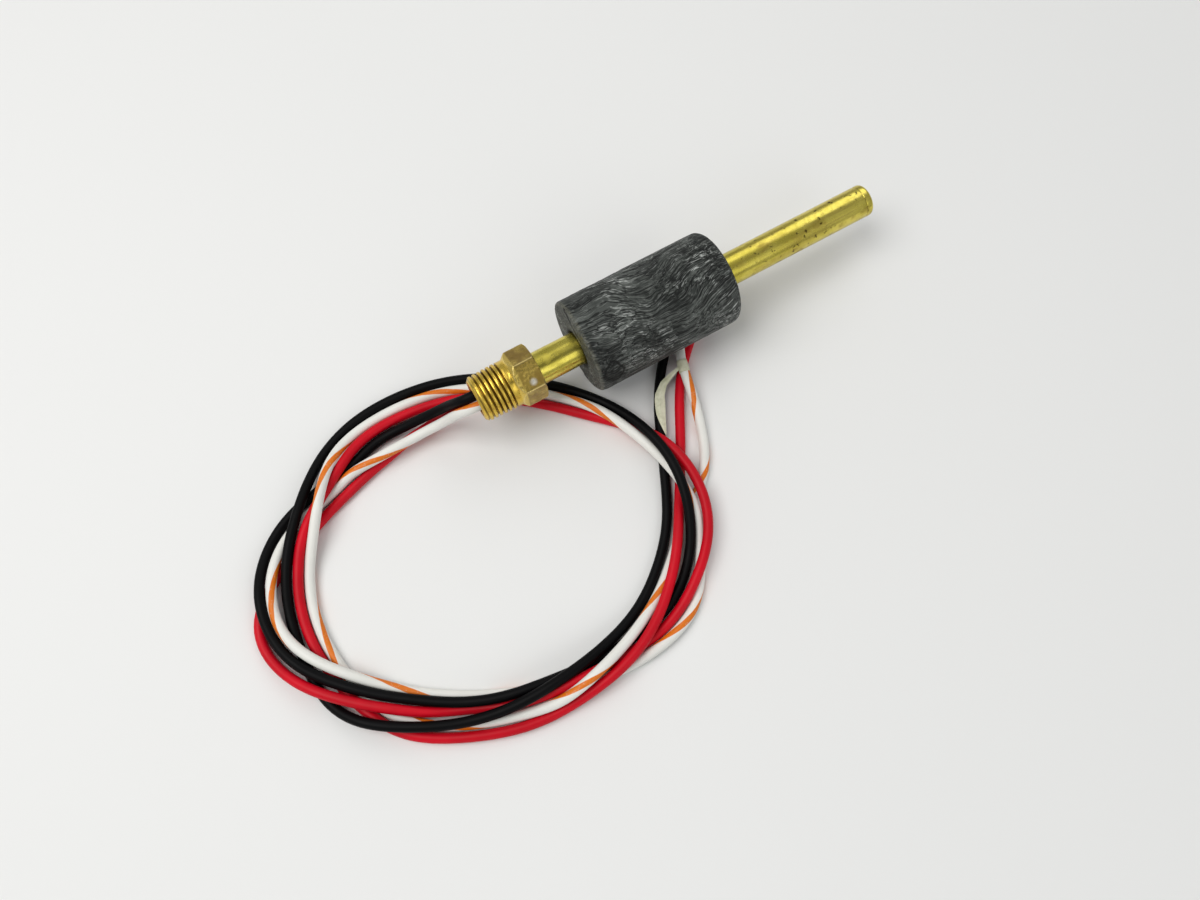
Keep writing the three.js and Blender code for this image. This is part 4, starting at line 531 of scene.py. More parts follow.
# ------------------------------------------------------------------ lead materials
def lead_material(name, base, tint, rough, stripe=None, spec=0.5):
    k = M(name, Roughness=rough, IOR=1.5, Specular_IOR_Level=spec)
    p = k.tc()
    broad = k.noise(p, 55, 3, 0.6)
    fine = k.noise(p, 900, 2, 0.5)
    grime = k.step(k.noise(k.mapping(p, loc=(0.3, 0.1, 0.7)), 160, 5, 0.62), 0.60, 0.80)
    col = k.mix(k.step(broad, 0.3, 0.7), base, tint)
    if stripe is not None:
        uv = k.sep(k.tc("UV"))
        f = k.math("FRACT", k.math("ADD", uv[0], k.math("MULTIPLY", k.math("SUBTRACT", k.noise(p, 300, 2), 0.5), 0.03)))
        d = k.math("MINIMUM", f, k.math("SUBTRACT", 1.0, f))
        mask = k.math("SUBTRACT", 1.0, k.step(d, 0.078, 0.098))
        wear = k.step(k.noise(p, 1300, 3, 0.7), 0.30, 0.42)
        mask = k.math("MULTIPLY", mask, k.math("MULTIPLY_ADD", wear, 0.25, 0.75))
        col = k.mix(mask, col, stripe)
    col = k.mix(k.math("MULTIPLY", grime, 0.22 if stripe is not None else 0.12), col, (0.30, 0.26, 0.2) if stripe is not None else tint)
    k.put("Base Color", col)
    k.put("Roughness", k.math("MULTIPLY_ADD", k.noise(p, 140, 4, 0.6), 0.22, rough - 0.11))
    h = k.math("ADD", k.math("MULTIPLY", broad, 0.8), k.math("MULTIPLY", fine, 0.25))
    k.put("Normal", k.bump(h, 0.25, 0.00012))
    return k.m


MAT_BLACK = lead_material("lead_black_insulation", (0.0010, 0.0010, 0.0012), (0.0020, 0.0020, 0.0025), 0.50, spec=0.10)
MAT_RED = lead_material("lead_red_insulation", (0.64, 0.0010, 0.014), (0.50, 0.0008, 0.010), 0.46, spec=0.20)
MAT_WHITE = lead_material("lead_white_insulation", (0.83, 0.82, 0.77), (0.76, 0.755, 0.71), 0.45, stripe=(0.72, 0.17, 0.004), spec=0.35)

# ------------------------------------------------------------------ the three leads
STRIPE_S = [-37.0, 0.0, 42.5, 92.0, 141.6, 295.0, 338.6, 380.7, 434.8, 513.0, 546.1, 580.7, 604.7, 650.0]
STRIPE_K = [-2.0, -1.0, 0.0, 1.0, 2.0, 6.0, 7.0, 8.0, 9.0, 11.0, 12.0, 13.0, 14.0, 15.1]


def stripe_turn(s):
    return float(np.interp(s * 1000, STRIPE_S, STRIPE_K))


LEAD_D = 0.0029
leads = {}
for nm, route, mat in (("black", ROUTE_BLACK, MAT_BLACK), ("red", ROUTE_RED, MAT_RED), ("white", ROUTE_WHITE, MAT_WHITE)):
    pts = np.array(route) * MM
    start = pts[0] + np.array([2.1 * MM, 0, 0])
    pts = np.concatenate([[start], pts])
    length = float(np.linalg.norm(np.diff(pts, axis=0), axis=1).sum())
    ob = tube("lead_" + nm, pts, LEAD_D / 2, 22, stripe_turn if nm == "white" else None, mat)
    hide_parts("wire_" + nm)
    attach(ob, "probe")
    leads[nm] = (ob, pts, length)

# ------------------------------------------------------------------ stripped ends: twisted tinned strands
k = M("tinned_strands", Metallic=1.0, Roughness=0.3)
p = k.tc()
k.put("Base Color", k.mix(k.step(k.noise(p, 700, 3, 0.6), 0.35, 0.7), (0.62, 0.62, 0.64), (0.42, 0.40, 0.38)))
k.put("Roughness", k.math("MULTIPLY_ADD", k.noise(p, 1500, 3), 0.3, 0.2))
k.put("Normal", k.bump(k.noise(p, 2500, 2), 0.3, 0.00003))
MAT_TINNED = k.m
for nm, (ob, pts, length) in leads.items():
    end = pts[-1]
    d = pts[-1] - pts[-4]
    d /= np.linalg.norm(d)
    side = np.cross(d, (0, 0, 1.0))
    side /= np.linalg.norm(side)
    upv = np.cross(side, d)
    parts = []
    allv, allf = [], []
    for q in range(7):
        rr = 0.0 if q == 0 else 0.00037
        a0 = 2 * math.pi * q / 6
        line = []
        L = 0.0058
        for i in range(26):
            t = i / 25
            a = a0 + 2 * math.pi * t * 1.1
            spread = rr * (1 + 0.12 * t)
            line.append(end + d * (0.0001 + L * t) + spread * (math.cos(a) * side + math.sin(a) * upv))
        P, T, N, B, s = frames_for(line)
        base = len(allv)
        rs = 0.000175
        for i in range(len(P)):
            for c in range(8):
                a = 2 * math.pi * c / 8
                allv.append(P[i] + rs * (math.cos(a) * N[i] + math.sin(a) * B[i]))
        for i in range(len(P) - 1):
            for c in range(8):
                c2 = (c + 1) % 8
                allf.append((base + i * 8 + c, base + (i + 1) * 8 + c, base + (i + 1) * 8 + c2, base + i * 8 + c2))
        allf.append(tuple(base + c for c in range(8)))
        allf.append(tuple(base + (len(P) - 1) * 8 + c for c in reversed(range(8))))
    so = mesh_object("strands_" + nm, allv, allf, None, True, MAT_TINNED)
    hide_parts("stripped_end_" + nm)
    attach(so, "probe")

# ------------------------------------------------------------------ blank sticker tag on the white lead
TAG_IN, TAG_OUT = 1.60, 1.78


def arc_ring(c, s, lift, a0, a1, count, r_in=TAG_IN, r_out=TAG_OUT):
    c, s = np.array(c, float), np.array(s, float)
    s /= np.linalg.norm(s)
    n = np.array([0, 0, 1.0])
    outer, inner = [], []
    for i in range(count):
        a = math.radians(a0 + (a1 - a0) * i / (count - 1))
        dr = math.cos(a) * s + math.sin(a) * n
        outer.append(c + dr * r_out + np.array([0, 0, lift]))
        inner.append(c + dr * r_in + np.array([0, 0, lift]))
    return outer + inner[::-1]


def plate_ring(c, s, half, count, bend=0.0, thick=0.2):
    c, s = np.array(c, float), np.array(s, float)
    s /= np.linalg.norm(s)
    top, under = [], []
    for i in range(count):
        t = 1 - 2 * i / (count - 1)
        q = c + s * half * t + np.array([0, 0, bend * (1 - t * t)])
        top.append(q)
        under.append(q - np.array([0, 0, thick]))
    return top + under[::-1]


def loft(name, rings, mat, sub=2):
    import bmesh
    n, k2 = len(rings), len(rings[0])
    verts = [np.array(v) * MM for r in rings for v in r]
    faces = []
    for i in range(n - 1):
        for a in range(k2):
            b = (a + 1) % k2
            faces.append((i * k2 + a, i * k2 + b, (i + 1) * k2 + b, (i + 1) * k2 + a))
    half = k2 // 2
    for base, flip in ((0, True), ((n - 1) * k2, False)):
        for a in range(half - 1):
            q = (base + a, base + a + 1, base + k2 - 2 - a, base + k2 - 1 - a)
            faces.append(q[::-1] if flip else q)
    ob = mesh_object(name, verts, faces, None, True, mat)
    bm = bmesh.new()
    bm.from_mesh(ob.data)
    bmesh.ops.recalc_face_normals(bm, faces=bm.faces)
    bm.to_mesh(ob.data)
    bm.free()
    if sub:
        s = ob.modifiers.new("round", "SUBSURF")
        s.levels = s.render_levels = sub
    return ob


k = M("sticker_paper", Roughness=0.55)
p = k.tc()
k.put("Base Color", k.mix(k.step(k.noise(p, 420, 4, 0.6), 0.3, 0.75), (0.74, 0.73, 0.56), (0.50, 0.50, 0.33)))
k.put("Roughness", k.math("MULTIPLY_ADD", k.noise(p, 800, 3), 0.25, 0.42))
k.put("Normal", k.bump(k.noise(p, 650, 4, 0.6), 0.35, 0.0001))
MAT_TAG = k.m
def fold_ring(c, s, lo, ridge, hi, thick=0.13):
    """A folded strip: c is the lead's axis; lo, ridge and hi are (across, up) points of the top face, left to right."""
    c, s = np.array(c, float), np.array(s, float)
    s /= np.linalg.norm(s)
    upv = np.array([0, 0, 1.0])
    top = []
    for (x0_, z0_), (x1_, z1_), k0 in ((lo, ridge, 0), (ridge, hi, 1)):
        for t in ((0.0, 0.5) if k0 == 0 else (0.0, 0.5, 1.0)):
            top.append(c + s * (x0_ + (x1_ - x0_) * t) + upv * (z0_ + (z1_ - z0_) * t))
    top = top[::-1]
    return top + [q - upv * thick for q in top[::-1]]


tail = loft(
    "tag_tail",
    [
        fold_ring([-21.9, -29.95, -15.8], [0.905, -0.425, 0], (1.30, 1.28), (1.42, 1.32), (1.55, 1.22)),
        fold_ring([-21.0, -28.0, -15.8], [0.905, -0.425, 0], (0.45, 1.62), (0.95, 1.72), (1.70, 1.30)),
        fold_ring([-20.1, -26.1, -15.8], [0.90, -0.436, 0], (-0.30, 1.72), (0.60, 1.84), (1.80, 1.28)),
        fold_ring([-19.2, -24.25, -15.8], [0.89, -0.455, 0], (-0.85, 1.70), (0.40, 1.90), (1.85, 1.28)),
        fold_ring([-18.2, -22.4, -15.8], [0.875, -0.48, 0], (-1.10, 1.72), (0.30, 1.95), (1.90, 1.34)),
        fold_ring([-17.2, -20.6, -15.8], [0.86, -0.51, 0], (-1.20, 1.78), (0.30, 2.02), (1.85, 1.46)),
        fold_ring([-16.3, -19.15, -15.8], [0.80, -0.60, 0], (-1.15, 1.95), (0.20, 2.22), (1.60, 1.80)),
        fold_ring([-13.5, -16.95, -15.8], [0.5, -0.86, 0.0], (-1.0, 2.40), (0.1, 2.62), (1.05, 2.36)),
        fold_ring([-10.5, -15.95, -15.8], [0.2, -0.98, 0.0], (-0.75, 2.86), (0.05, 3.00), (0.72, 2.84)),
        fold_ring([-7.55, -15.25, -15.8], [-0.2, -0.975, 0.0], (-0.55, 3.24), (0.0, 3.28), (0.50, 3.22), 0.06),
    ],
    MAT_TAG,
    0,
)
for poly in tail.data.polygons:
    poly.use_smooth = False
band = loft(
    "tag_band",
    [
        arc_ring([-6.42, -17.3, -12.91], [0.97, -0.24, 0], 0.0, -25, 200, 15, 1.52, 1.62),
        arc_ring([-6.10, -16.0, -12.86], [0.964, -0.267, 0], 0.0, -25, 200, 15, 1.52, 1.64),
        arc_ring([-5.72, -14.7, -12.88], [0.954, -0.29, 0], 0.0, -25, 200, 15, 1.52, 1.64),
        arc_ring([-5.36, -13.5, -12.93], [0.948, -0.315, 0], 0.0, -25, 200, 15, 1.52, 1.62),
    ],
    MAT_TAG,
    1,
)
for o in (tail, band):
    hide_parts("wire_tag")
    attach(o, "probe")

# ------------------------------------------------------------------ brass materials
def brass(name, light, dark, rough, groove=None, specks=0.5, stretch=(1, 1, 1)):
    k = M(name, Metallic=1.0, Roughness=rough)
    p = k.tc()
    broad = k.noise(p, 90, 4, 0.6)
    fine = k.noise(p, 700, 4, 0.65)
    col = k.mix(k.step(k.math("MULTIPLY_ADD", fine, 0.4, k.math("MULTIPLY", broad, 0.6)), 0.36, 0.64), light, dark)
    sp = k.noise(k.mapping(p, loc=(0.2, 0.4, 0.1)), 520, 5, 0.7)
    pit = k.step(sp, 0.70 - 0.06 * specks, 0.78)
    col = k.mix(k.math("MULTIPLY", pit, 0.85), col, (0.09, 0.055, 0.015))
    rgh = k.math("MULTIPLY_ADD", fine, 0.25, rough - 0.10)
    h = k.math("ADD", k.math("MULTIPLY", fine, 0.5), k.math("MULTIPLY", pit, -1.0))
    return k, p, col, rgh, h


# stem: drawn tube, faint lengthwise draw lines, specks and a few stains towards the tip
k, p, col, rgh, h = brass("stem_brass_drawn", (0.74, 0.63, 0.125), (0.56, 0.47, 0.070), 0.215, specks=0.2)
o, r = k.around()
lines = k.noise(k.mapping(p, scale=(18, 2600, 2600)), 1.0, 3, 0.6)
toward_tip = k.step(o[0], 0.010, 0.030)
stain = k.step(k.noise(k.mapping(p, scale=(0.6, 1.3, 1.3), loc=(0.03, 0.9, 0.2)), 240, 5, 0.65), 0.52, 0.66)
spots = k.step(k.noise(k.mapping(p, loc=(0.6, 0.25, 0.8)), 560, 4, 0.6), 0.62, 0.68)
streaked = k.step(k.noise(k.mapping(p, scale=(40, 900, 900), rot=(0.0, 0.0, 0.12)), 1.0, 3, 0.6), 0.45, 0.62)
col = k.mix(k.math("MULTIPLY", k.math("MULTIPLY", streaked, toward_tip), 0.40), col, (0.40, 0.285, 0.075))
col = k.mix(k.math("MULTIPLY", k.math("MULTIPLY", stain, toward_tip), 0.48), col, (0.25, 0.155, 0.035))
col = k.mix(k.math("MULTIPLY", k.math("MULTIPLY", spots, toward_tip), 0.9), col, (0.05, 0.03, 0.01))
k.put("Base Color", col)
k.put("Roughness", k.math("ADD", k.math("MULTIPLY", stain, 0.12), rgh))
k.put("Normal", k.bump(k.math("ADD", k.math("MULTIPLY", lines, 0.7), k.math("MULTIPLY", h, 0.22)), 0.11, 0.00006))
MAT_STEM = k.m

# fitting: UV v is how deep a point sits in the thread
k, p, col, rgh, h = brass("fitting_brass_machined", (0.56, 0.40, 0.095), (0.33, 0.235, 0.045), 0.24, specks=0.8)
uv = k.sep(k.tc("UV"))
deep = k.step(uv[1], 0.25, 0.95)
crest = k.math("SUBTRACT", 1.0, k.step(uv[1], 0.02, 0.22))
o, r = k.around()
on_thread = k.math("SUBTRACT", 1.0, k.step(o[0], -0.0535, -0.0525))
turning = k.noise(k.mapping(p, scale=(5200, 60, 60)), 1.0, 2, 0.5)
oxide = k.step(k.noise(k.mapping(p, loc=(0.7, 0.2, 0.3)), 210, 5, 0.62), 0.42, 0.60)
col = k.mix(k.math("MULTIPLY", oxide, k.math("MULTIPLY_ADD", on_thread, -0.25, 0.72)), col, (0.27, 0.165, 0.042))
# painted shade: the thread grooves are darkened towards their roots, in noisy patches
col = k.mix(k.math("MULTIPLY", deep, k.math("MULTIPLY_ADD", k.step(k.noise(p, 240, 3), 0.35, 0.65), 0.45, 0.35)), col, (0.13, 0.062, 0.008))
# painted highlight: the thread crests are lightened to bright brass
col = k.mix(k.math("MULTIPLY", k.math("MULTIPLY", crest, on_thread), 0.75), col, (0.84, 0.58, 0.085))
# painted highlight: the chamfer cone between the thread and the hex flats is lightened to bright gold
cone = k.math("MULTIPLY", k.step(o[0], -0.0534, -0.0531), k.math("SUBTRACT", 1.0, k.step(o[0], -0.0519, -0.0515)))
col = k.mix(k.math("MULTIPLY", cone, 0.6), col, (0.88, 0.66, 0.16))
edge = k.math("MULTIPLY", uv[1], -1.0, clamp=True)
worn = k.math("MULTIPLY", edge, k.math("MULTIPLY_ADD", k.noise(p, 900, 3), 0.5, 0.55))
shade = k.step(k.math("MULTIPLY", uv[1], -1.0), 0.02, 0.30)
on_flat = k.math("MULTIPLY", k.step(o[0], -0.0520, -0.0517), k.math("SUBTRACT", 1.0, k.step(o[0], -0.0459, -0.0457)))
col = k.mix(k.math("MULTIPLY", k.math("MULTIPLY", shade, on_flat), k.math("SUBTRACT", 0.85, worn)), col, (0.12, 0.072, 0.014))
col = k.mix(k.math("MULTIPLY", worn, 0.9), col, (0.92, 0.74, 0.30))
white_spot = k.step(k.vmath("LENGTH", k.vmath("SUBTRACT", p, (-0.0487, -0.0052, 0.0060))), 0.0015, 0.0005)
col = k.mix(k.math("MULTIPLY", white_spot, k.math("MULTIPLY_ADD", k.noise(p, 1500, 3), 0.8, 0.35, clamp=True)), col, (0.85, 0.83, 0.76))
k.put("Base Color", col)
k.put("Roughness", k.math("ADD", rgh, k.math("MULTIPLY", k.math("ADD", deep, oxide), 0.12)))
k.put("Normal", k.bump(k.math("ADD", k.math("MULTIPLY", turning, 0.35), h), 0.3, 0.00008))
MAT_FITTING = k.m

k, p, col, rgh, h = brass("braze_alloy", (0.86, 0.72, 0.36), (0.62, 0.48, 0.2), 0.3, specks=0.5)
k.put("Base Color", col)
k.put("Roughness", rgh)
k.put("Normal", k.bump(k.noise(p, 900, 3), 0.4, 0.00012))
MAT_BRAZE = k.m

# ------------------------------------------------------------------ fitting
THREAD_END, THREAD_STOP, HEX_START, HEX_FACE = -64.5, -53.4, -51.8, -45.7
PITCH, CREST_R, TAPER, DEPTH = 1.411, 6.62, 1 / 32, 0.70
HEX_AF = 14.29
NA = 240


def smooth_min(a, b, kk):
    hh = np.clip(0.5 + 0.5 * (b - a) / kk, 0, 1)
    return b * (1 - hh) + a * hh - kk * hh * (1 - hh)


def smooth_max(a, b, kk):
    return -smooth_min(-a, -b, kk)


ang = 2 * np.pi * (np.arange(NA) / NA) + math.radians(26)


def thread_radius(x, a):
    ph = np.mod((x - (THREAD_END - 1.3 * PITCH)) / PITCH - a / (2 * np.pi), 1.0)
    # a narrow groove between wide rounded crests
    g = np.abs(ph - 0.5) / 0.26
    groove = np.clip(1 - g, 0, 1)
    groove = groove * groove * (3 - 2 * groove) * 0.5 + groove * 0.5
    swell = 0.14 * (1 - np.cos(2 * np.pi * (ph - 0.5))) / 2
    worn = 0.42 + 0.58 * min(1.0, max(0.0, (x - THREAD_END - 0.6) / 4.0))
    crest = CREST_R - 0.06 + (x - THREAD_END) * TAPER
    return crest - DEPTH * worn * groove + swell, groove * worn


def fitting_radius(x, a):
    m60 = np.mod(a - math.radians(26), math.radians(60))
    flat = HEX_AF / 2 / np.cos(m60 - math.radians(30))
    if x < THREAD_STOP:
        r, dep = thread_radius(x, a)
        lead_in = CREST_R - 0.85 + (x - THREAD_END)
        r2 = smooth_min(r, np.full_like(r, lead_in), 0.12)
        fade = np.clip((x - (THREAD_STOP - 1.9)) / 0.7, 0, 1)
        neck = CREST_R + (x - THREAD_END) * TAPER - 0.12
        r2 = r2 * (1 - fade) + neck * fade
        return r2, np.clip(dep * (1 - fade), 0, 1) if x > THREAD_END + 0.5 else np.clip(dep, 0, 1) * 0.6
    cone = 6.85 + (x - THREAD_STOP) * (8.3 - 6.85) / (HEX_START - THREAD_STOP)
    back = 7.45 + (HEX_FACE - x) * (8.3 - 7.45) / 0.45
    env = min(cone, 8.3, back)
    r = smooth_min(flat, np.full_like(flat, env), 0.10)
    off = np.degrees(np.minimum(m60, math.radians(60) - m60))
    corner = np.exp(-((off / 1.7) ** 2)) * np.clip((x - HEX_START) / 0.4 + 0.2, 0, 1)
    rim = np.exp(-(((flat - env) / 0.13) ** 2))
    return r, -np.clip(np.maximum(corner, 0.8 * rim), 0, 1)


xs = list(np.arange(THREAD_END, THREAD_STOP - 1e-6, 0.062)) + list(np.arange(THREAD_STOP, HEX_START, 0.07)) + list(
    np.arange(HEX_START, HEX_FACE - 0.6, 0.22)) + list(np.arange(HEX_FACE - 0.6, HEX_FACE + 1e-6, 0.06))
rings, uvs = [], []


def ring(x, r, dep):
    rings.append(np.stack([np.full(NA, x), r * np.cos(ang), r * np.sin(ang)], -1) * MM)
    uvs.append(np.full(NA, dep) if np.isscalar(dep) else dep)


one = np.ones(NA)
for x, r in ((-59.2, 4.5), (-61, 4.5), (-62.5, 4.5), (-63.8, 4.5), (-64.3, 4.53), (-64.44, 4.6), (-64.5, 4.72)):
    ring(x, r * one, 0.6)
for r in (5.0, 5.4):
    ring(-64.5, r * one, -0.7)
for x in xs:
    r, dep = fitting_radius(x, ang)
    if x < THREAD_END + 0.03:
        r = np.minimum(r, 5.72)
    nz = np.array([noise.noise(Vector((x * 0.6, 2.2 * math.cos(a), 2.2 * math.sin(a)))) for a in ang])
    nz2 = np.array([noise.noise(Vector((x * 1.9 + 7, 9 * math.cos(a), 9 * math.sin(a)))) for a in ang])
    ring(x, r + 0.035 * nz + 0.03 * nz2, dep)
rl, dl = fitting_radius(HEX_FACE - 0.001, ang)
for f, x in ((0.985, -45.68), (0.96, -45.67)):
    ring(x, rl * f, 0.15)
for r, x in ((6.6, -45.67), (6.2, -45.67), (5.98, -45.69), (5.9, -45.78), (5.88, -46.2), (5.88, -46.55), (5.6, -46.6), (5.2, -46.6), (5.05, -46.65), (5.05, -48), (5.05, -52), (5.05, -57.5), (4.5, -57.5)):
    ring(x, r * one, 0.5)
fit = ring_loft("fitting_body", rings, True, MAT_FITTING, uvs)
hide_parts("npt_fitting")
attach(fit, "probe")

# ------------------------------------------------------------------ stem, end plug, braze fillet
SR = 4.7625


def stem_wobble(rr, xx, a):
    out = rr.copy()
    for i in range(len(a)):
        if rr[i] > 4.5:
            out[i] += 0.018 * noise.noise(Vector((xx[i] * 0.12, 1.2 * math.cos(a[i]), 1.2 * math.sin(a[i]))))
    return out, xx


prof = [(3.96, -57.2), (SR - 0.2, -57.2), (SR, -57.0)]
prof += [(SR, x) for x in np.linspace(-56, 61.9, 90)]
prof += [(SR - 0.03, 62.03), (SR - 0.12, 62.06), (3.96, 62.06)]
stem = turned("stem_drawn_tube", prof, 128, MAT_STEM, stem_wobble)
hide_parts("stem_tube")
plug_prof = [(0, 58.7), (3.5, 58.7), (3.66, 58.9), (3.66, 62.12), (SR - 0.12, 62.12), (SR - 0.03, 62.15), (SR - 0.01, 62.3), (SR, 63.3)]
for i in range(1, 9):
    a = math.radians(90 * i / 8)
    plug_prof.append((SR - 0.95 * (1 - math.cos(a)), 63.45 + 1.02 * math.sin(a)))
plug_prof += [(3.2, 64.49), (2.2, 64.46), (1.0, 64.44), (0, 64.43)]
plug = turned("stem_closed_tip", plug_prof, 128, MAT_STEM)
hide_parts("stem_end_plug")
ring_prof = []
for i in range(16):
    a = 2 * math.pi * i / 16
    c, s_ = math.cos(a), math.sin(a)
    ring_prof.append((5.26 + 0.46 * c, -45.95 + (0.55 if s_ > 0 else 0.5) * s_))


def braze_wobble(rr, xx, a):
    o2 = xx + np.where(xx > -45.9, 1.0, 0.0) * np.array([0.10 * noise.noise(Vector((3, 3 * math.cos(t), 3 * math.sin(t)))) for t in a])
    return rr, o2


braze = turned("braze_fillet", ring_prof, 96, MAT_BRAZE, braze_wobble)
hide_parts("braze_ring")
for o_, sl in ((stem, "stem_brass"), (plug, "stem_brass"), (braze, "braze")):
    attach(o_, "probe")

# ------------------------------------------------------------------ float
k = M("float_nitrile_foam", Roughness=0.62, Specular_IOR_Level=0.16)
p = k.tc()
o, r = k.around()
warp = k.noise(k.mapping(p, loc=(0.11, 0.52, 0.33)), 30, 2, 0.45, colour=True)
warp2 = k.noise(k.mapping(p, loc=(0.71, 0.12, 0.93)), 150, 2, 0.5, colour=True)
w = k.vmath("ADD", p, k.vmath("SCALE", k.vmath("SUBTRACT", warp, (0.5, 0.5, 0.5)), 0.026))
w = k.vmath("ADD", w, k.vmath("SCALE", k.vmath("SUBTRACT", warp2, (0.5, 0.5, 0.5)), 0.0020))
warp_f = k.noise(k.mapping(p, loc=(0.31, 0.22, 0.63)), 260, 3, 0.6)
# long streaks that sweep up along the stem direction
lay = k.mapping(w, rot=(0.0, 0.0, math.radians(22)), scale=(30, 620, 500))
s1 = k.noise(lay, 1.0, 3, 0.62)
line1 = k.math("SUBTRACT", 1.0, k.step(k.math("ABSOLUTE", k.math("SUBTRACT", s1, 0.5)), 0.0, 0.035))
lay2 = k.mapping(w, rot=(0.2, 0.3, math.radians(-35)), scale=(90, 900, 760))
s2 = k.noise(lay2, 1.0, 3, 0.6)
line2 = k.math("SUBTRACT", 1.0, k.step(k.math("ABSOLUTE", k.math("SUBTRACT", s2, 0.5)), 0.0, 0.05))
dark2 = k.step(s2, 0.58, 0.70)
fine = k.noise(k.mapping(w, scale=(800, 1500, 1500)), 1.0, 3, 0.7)
patch = k.step(k.noise(k.mapping(p, loc=(0.4, 0.9, 0.1)), 75, 3, 0.5), 0.36, 0.62)
base = k.mix(patch, (0.022, 0.025, 0.0225), (0.070, 0.077, 0.071))
base = k.mix(k.math("MULTIPLY", k.step(fine, 0.35, 0.75), 0.30), base, (0.125, 0.135, 0.125))
base = k.mix(k.math("MULTIPLY", line2, k.math("MULTIPLY_ADD", patch, 0.26, 0.16)), base, (0.28, 0.295, 0.275))
base = k.mix(k.math("MULTIPLY", dark2, 0.75), base, (0.009, 0.010, 0.009))
streak_zone = k.step(k.noise(k.mapping(p, loc=(0.15, 0.35, 0.6)), 60, 2, 0.5), 0.38, 0.60)
breaks = k.step(k.noise(k.mapping(p, loc=(0.5, 0.1, 0.9)), 330, 3, 0.6), 0.40, 0.56)
base = k.mix(k.math("MULTIPLY", k.math("MULTIPLY", line1, breaks), k.math("MULTIPLY_ADD", streak_zone, 0.80, 0.12)), base, (0.52, 0.54, 0.515))
dark1 = k.step(s1, 0.60, 0.70)
base = k.mix(k.math("MULTIPLY", dark1, 0.75), base, (0.006, 0.0065, 0.0065))
veins = k.noise(k.mapping(w, rot=(0.0, 0.0, math.radians(14)), scale=(40, 700, 560)), 1.0, 3, 0.6)
vein = k.math("SUBTRACT", 1.0, k.step(k.math("ABSOLUTE", k.math("SUBTRACT", veins, 0.47)), 0.008, 0.055))
base = k.mix(k.math("MULTIPLY", vein, 0.85), base, (0.006, 0.0065, 0.0065))
blot = k.vmath("LENGTH", k.vmath("SUBTRACT", k.vmath("ADD", p, k.vmath("SCALE", k.vmath("SUBTRACT", warp2, (0.5, 0.5, 0.5)), 0.006)), (-0.0280, -0.0133, 0.0043)))
blot_in = k.step(blot, 0.0042, 0.0030)
blot_edge = k.math("SUBTRACT", 1.0, k.step(k.math("ABSOLUTE", k.math("SUBTRACT", blot, 0.0034)), 0.0002, 0.0008))
base = k.mix(k.math("MULTIPLY", k.math("MULTIPLY", blot_in, k.step(fine, 0.38, 0.55)), 0.7), base, (0.007, 0.008, 0.007))
base = k.mix(k.math("MULTIPLY", blot_edge, 0.8), base, (0.005, 0.0055, 0.005))
right_end = k.math("MULTIPLY", k.step(o[0], 0.004, 0.0125), k.step(k.noise(k.mapping(p, loc=(0.2, 0.8, 0.4)), 620, 3, 0.6), 0.50, 0.58))
base = k.mix(k.math("MULTIPLY", right_end, 0.6), base, (0.007, 0.0075, 0.0075))
rim = k.math("MULTIPLY", k.math("SUBTRACT", 1.0, k.step(o[0], -0.0322, -0.0312)), k.step(r, 0.0128, 0.0136))
base = k.mix(k.math("MULTIPLY", k.math("MULTIPLY", rim, k.step(fine, 0.35, 0.6)), 0.5), base, (0.20, 0.195, 0.15))
face = k.math("SUBTRACT", 1.0, k.step(o[0], -0.03235, -0.0321))
base = k.mix(k.math("MULTIPLY", face, 0.25), base, (0.16, 0.165, 0.14))
# a thin near-black line painted across the float's end face, as colour only, with no cut in the surface
face_dark_line = k.math("ABSOLUTE", k.math("ADD", k.math("MULTIPLY", k.math("SUBTRACT", warp_f, 0.5), 0.005), k.math("SUBTRACT", o[2], k.math("MULTIPLY_ADD", o[1], 0.35, 0.0084))))
face_dark_line = k.math("MULTIPLY", k.math("SUBTRACT", 1.0, k.step(face_dark_line, 0.0006, 0.0011)), k.math("MULTIPLY", face, k.step(o[1], -0.0030, -0.0018)))
base = k.mix(k.math("MULTIPLY", face_dark_line, 0.9), base, (0.004, 0.004, 0.004))
# painted shade: a near-black ring on the end face round the bore where the stem enters
bore_shade_ring = k.math("MULTIPLY", face, k.math("SUBTRACT", 1.0, k.step(r, 0.0056, 0.0068)))
base = k.mix(k.math("MULTIPLY", bore_shade_ring, 0.85), base, (0.005, 0.005, 0.005))
k.put("Base Color", base)
k.put("Roughness", k.math("MULTIPLY_ADD", fine, 0.3, 0.45))
hh = k.math("ADD", k.math("MULTIPLY", fine, 0.30), k.math("ADD", k.math("MULTIPLY", s1, 1.1), k.math("ADD", k.math("MULTIPLY", s2, 0.5), k.math("MULTIPLY", vein, -0.5))))
k.put("Normal", k.bump(hh, 0.8, 0.00030))
MAT_FLOAT = k.m

FR, X0, X1 = 14.0, -32.5, 13.6
NF = 256
fa = 2 * np.pi * np.arange(NF) / NF


def nz3(x, a, s, rr=14.0, seed=0.0):
    return noise.noise(Vector((x * s + seed, rr * math.cos(a) * s, rr * math.sin(a) * s)))


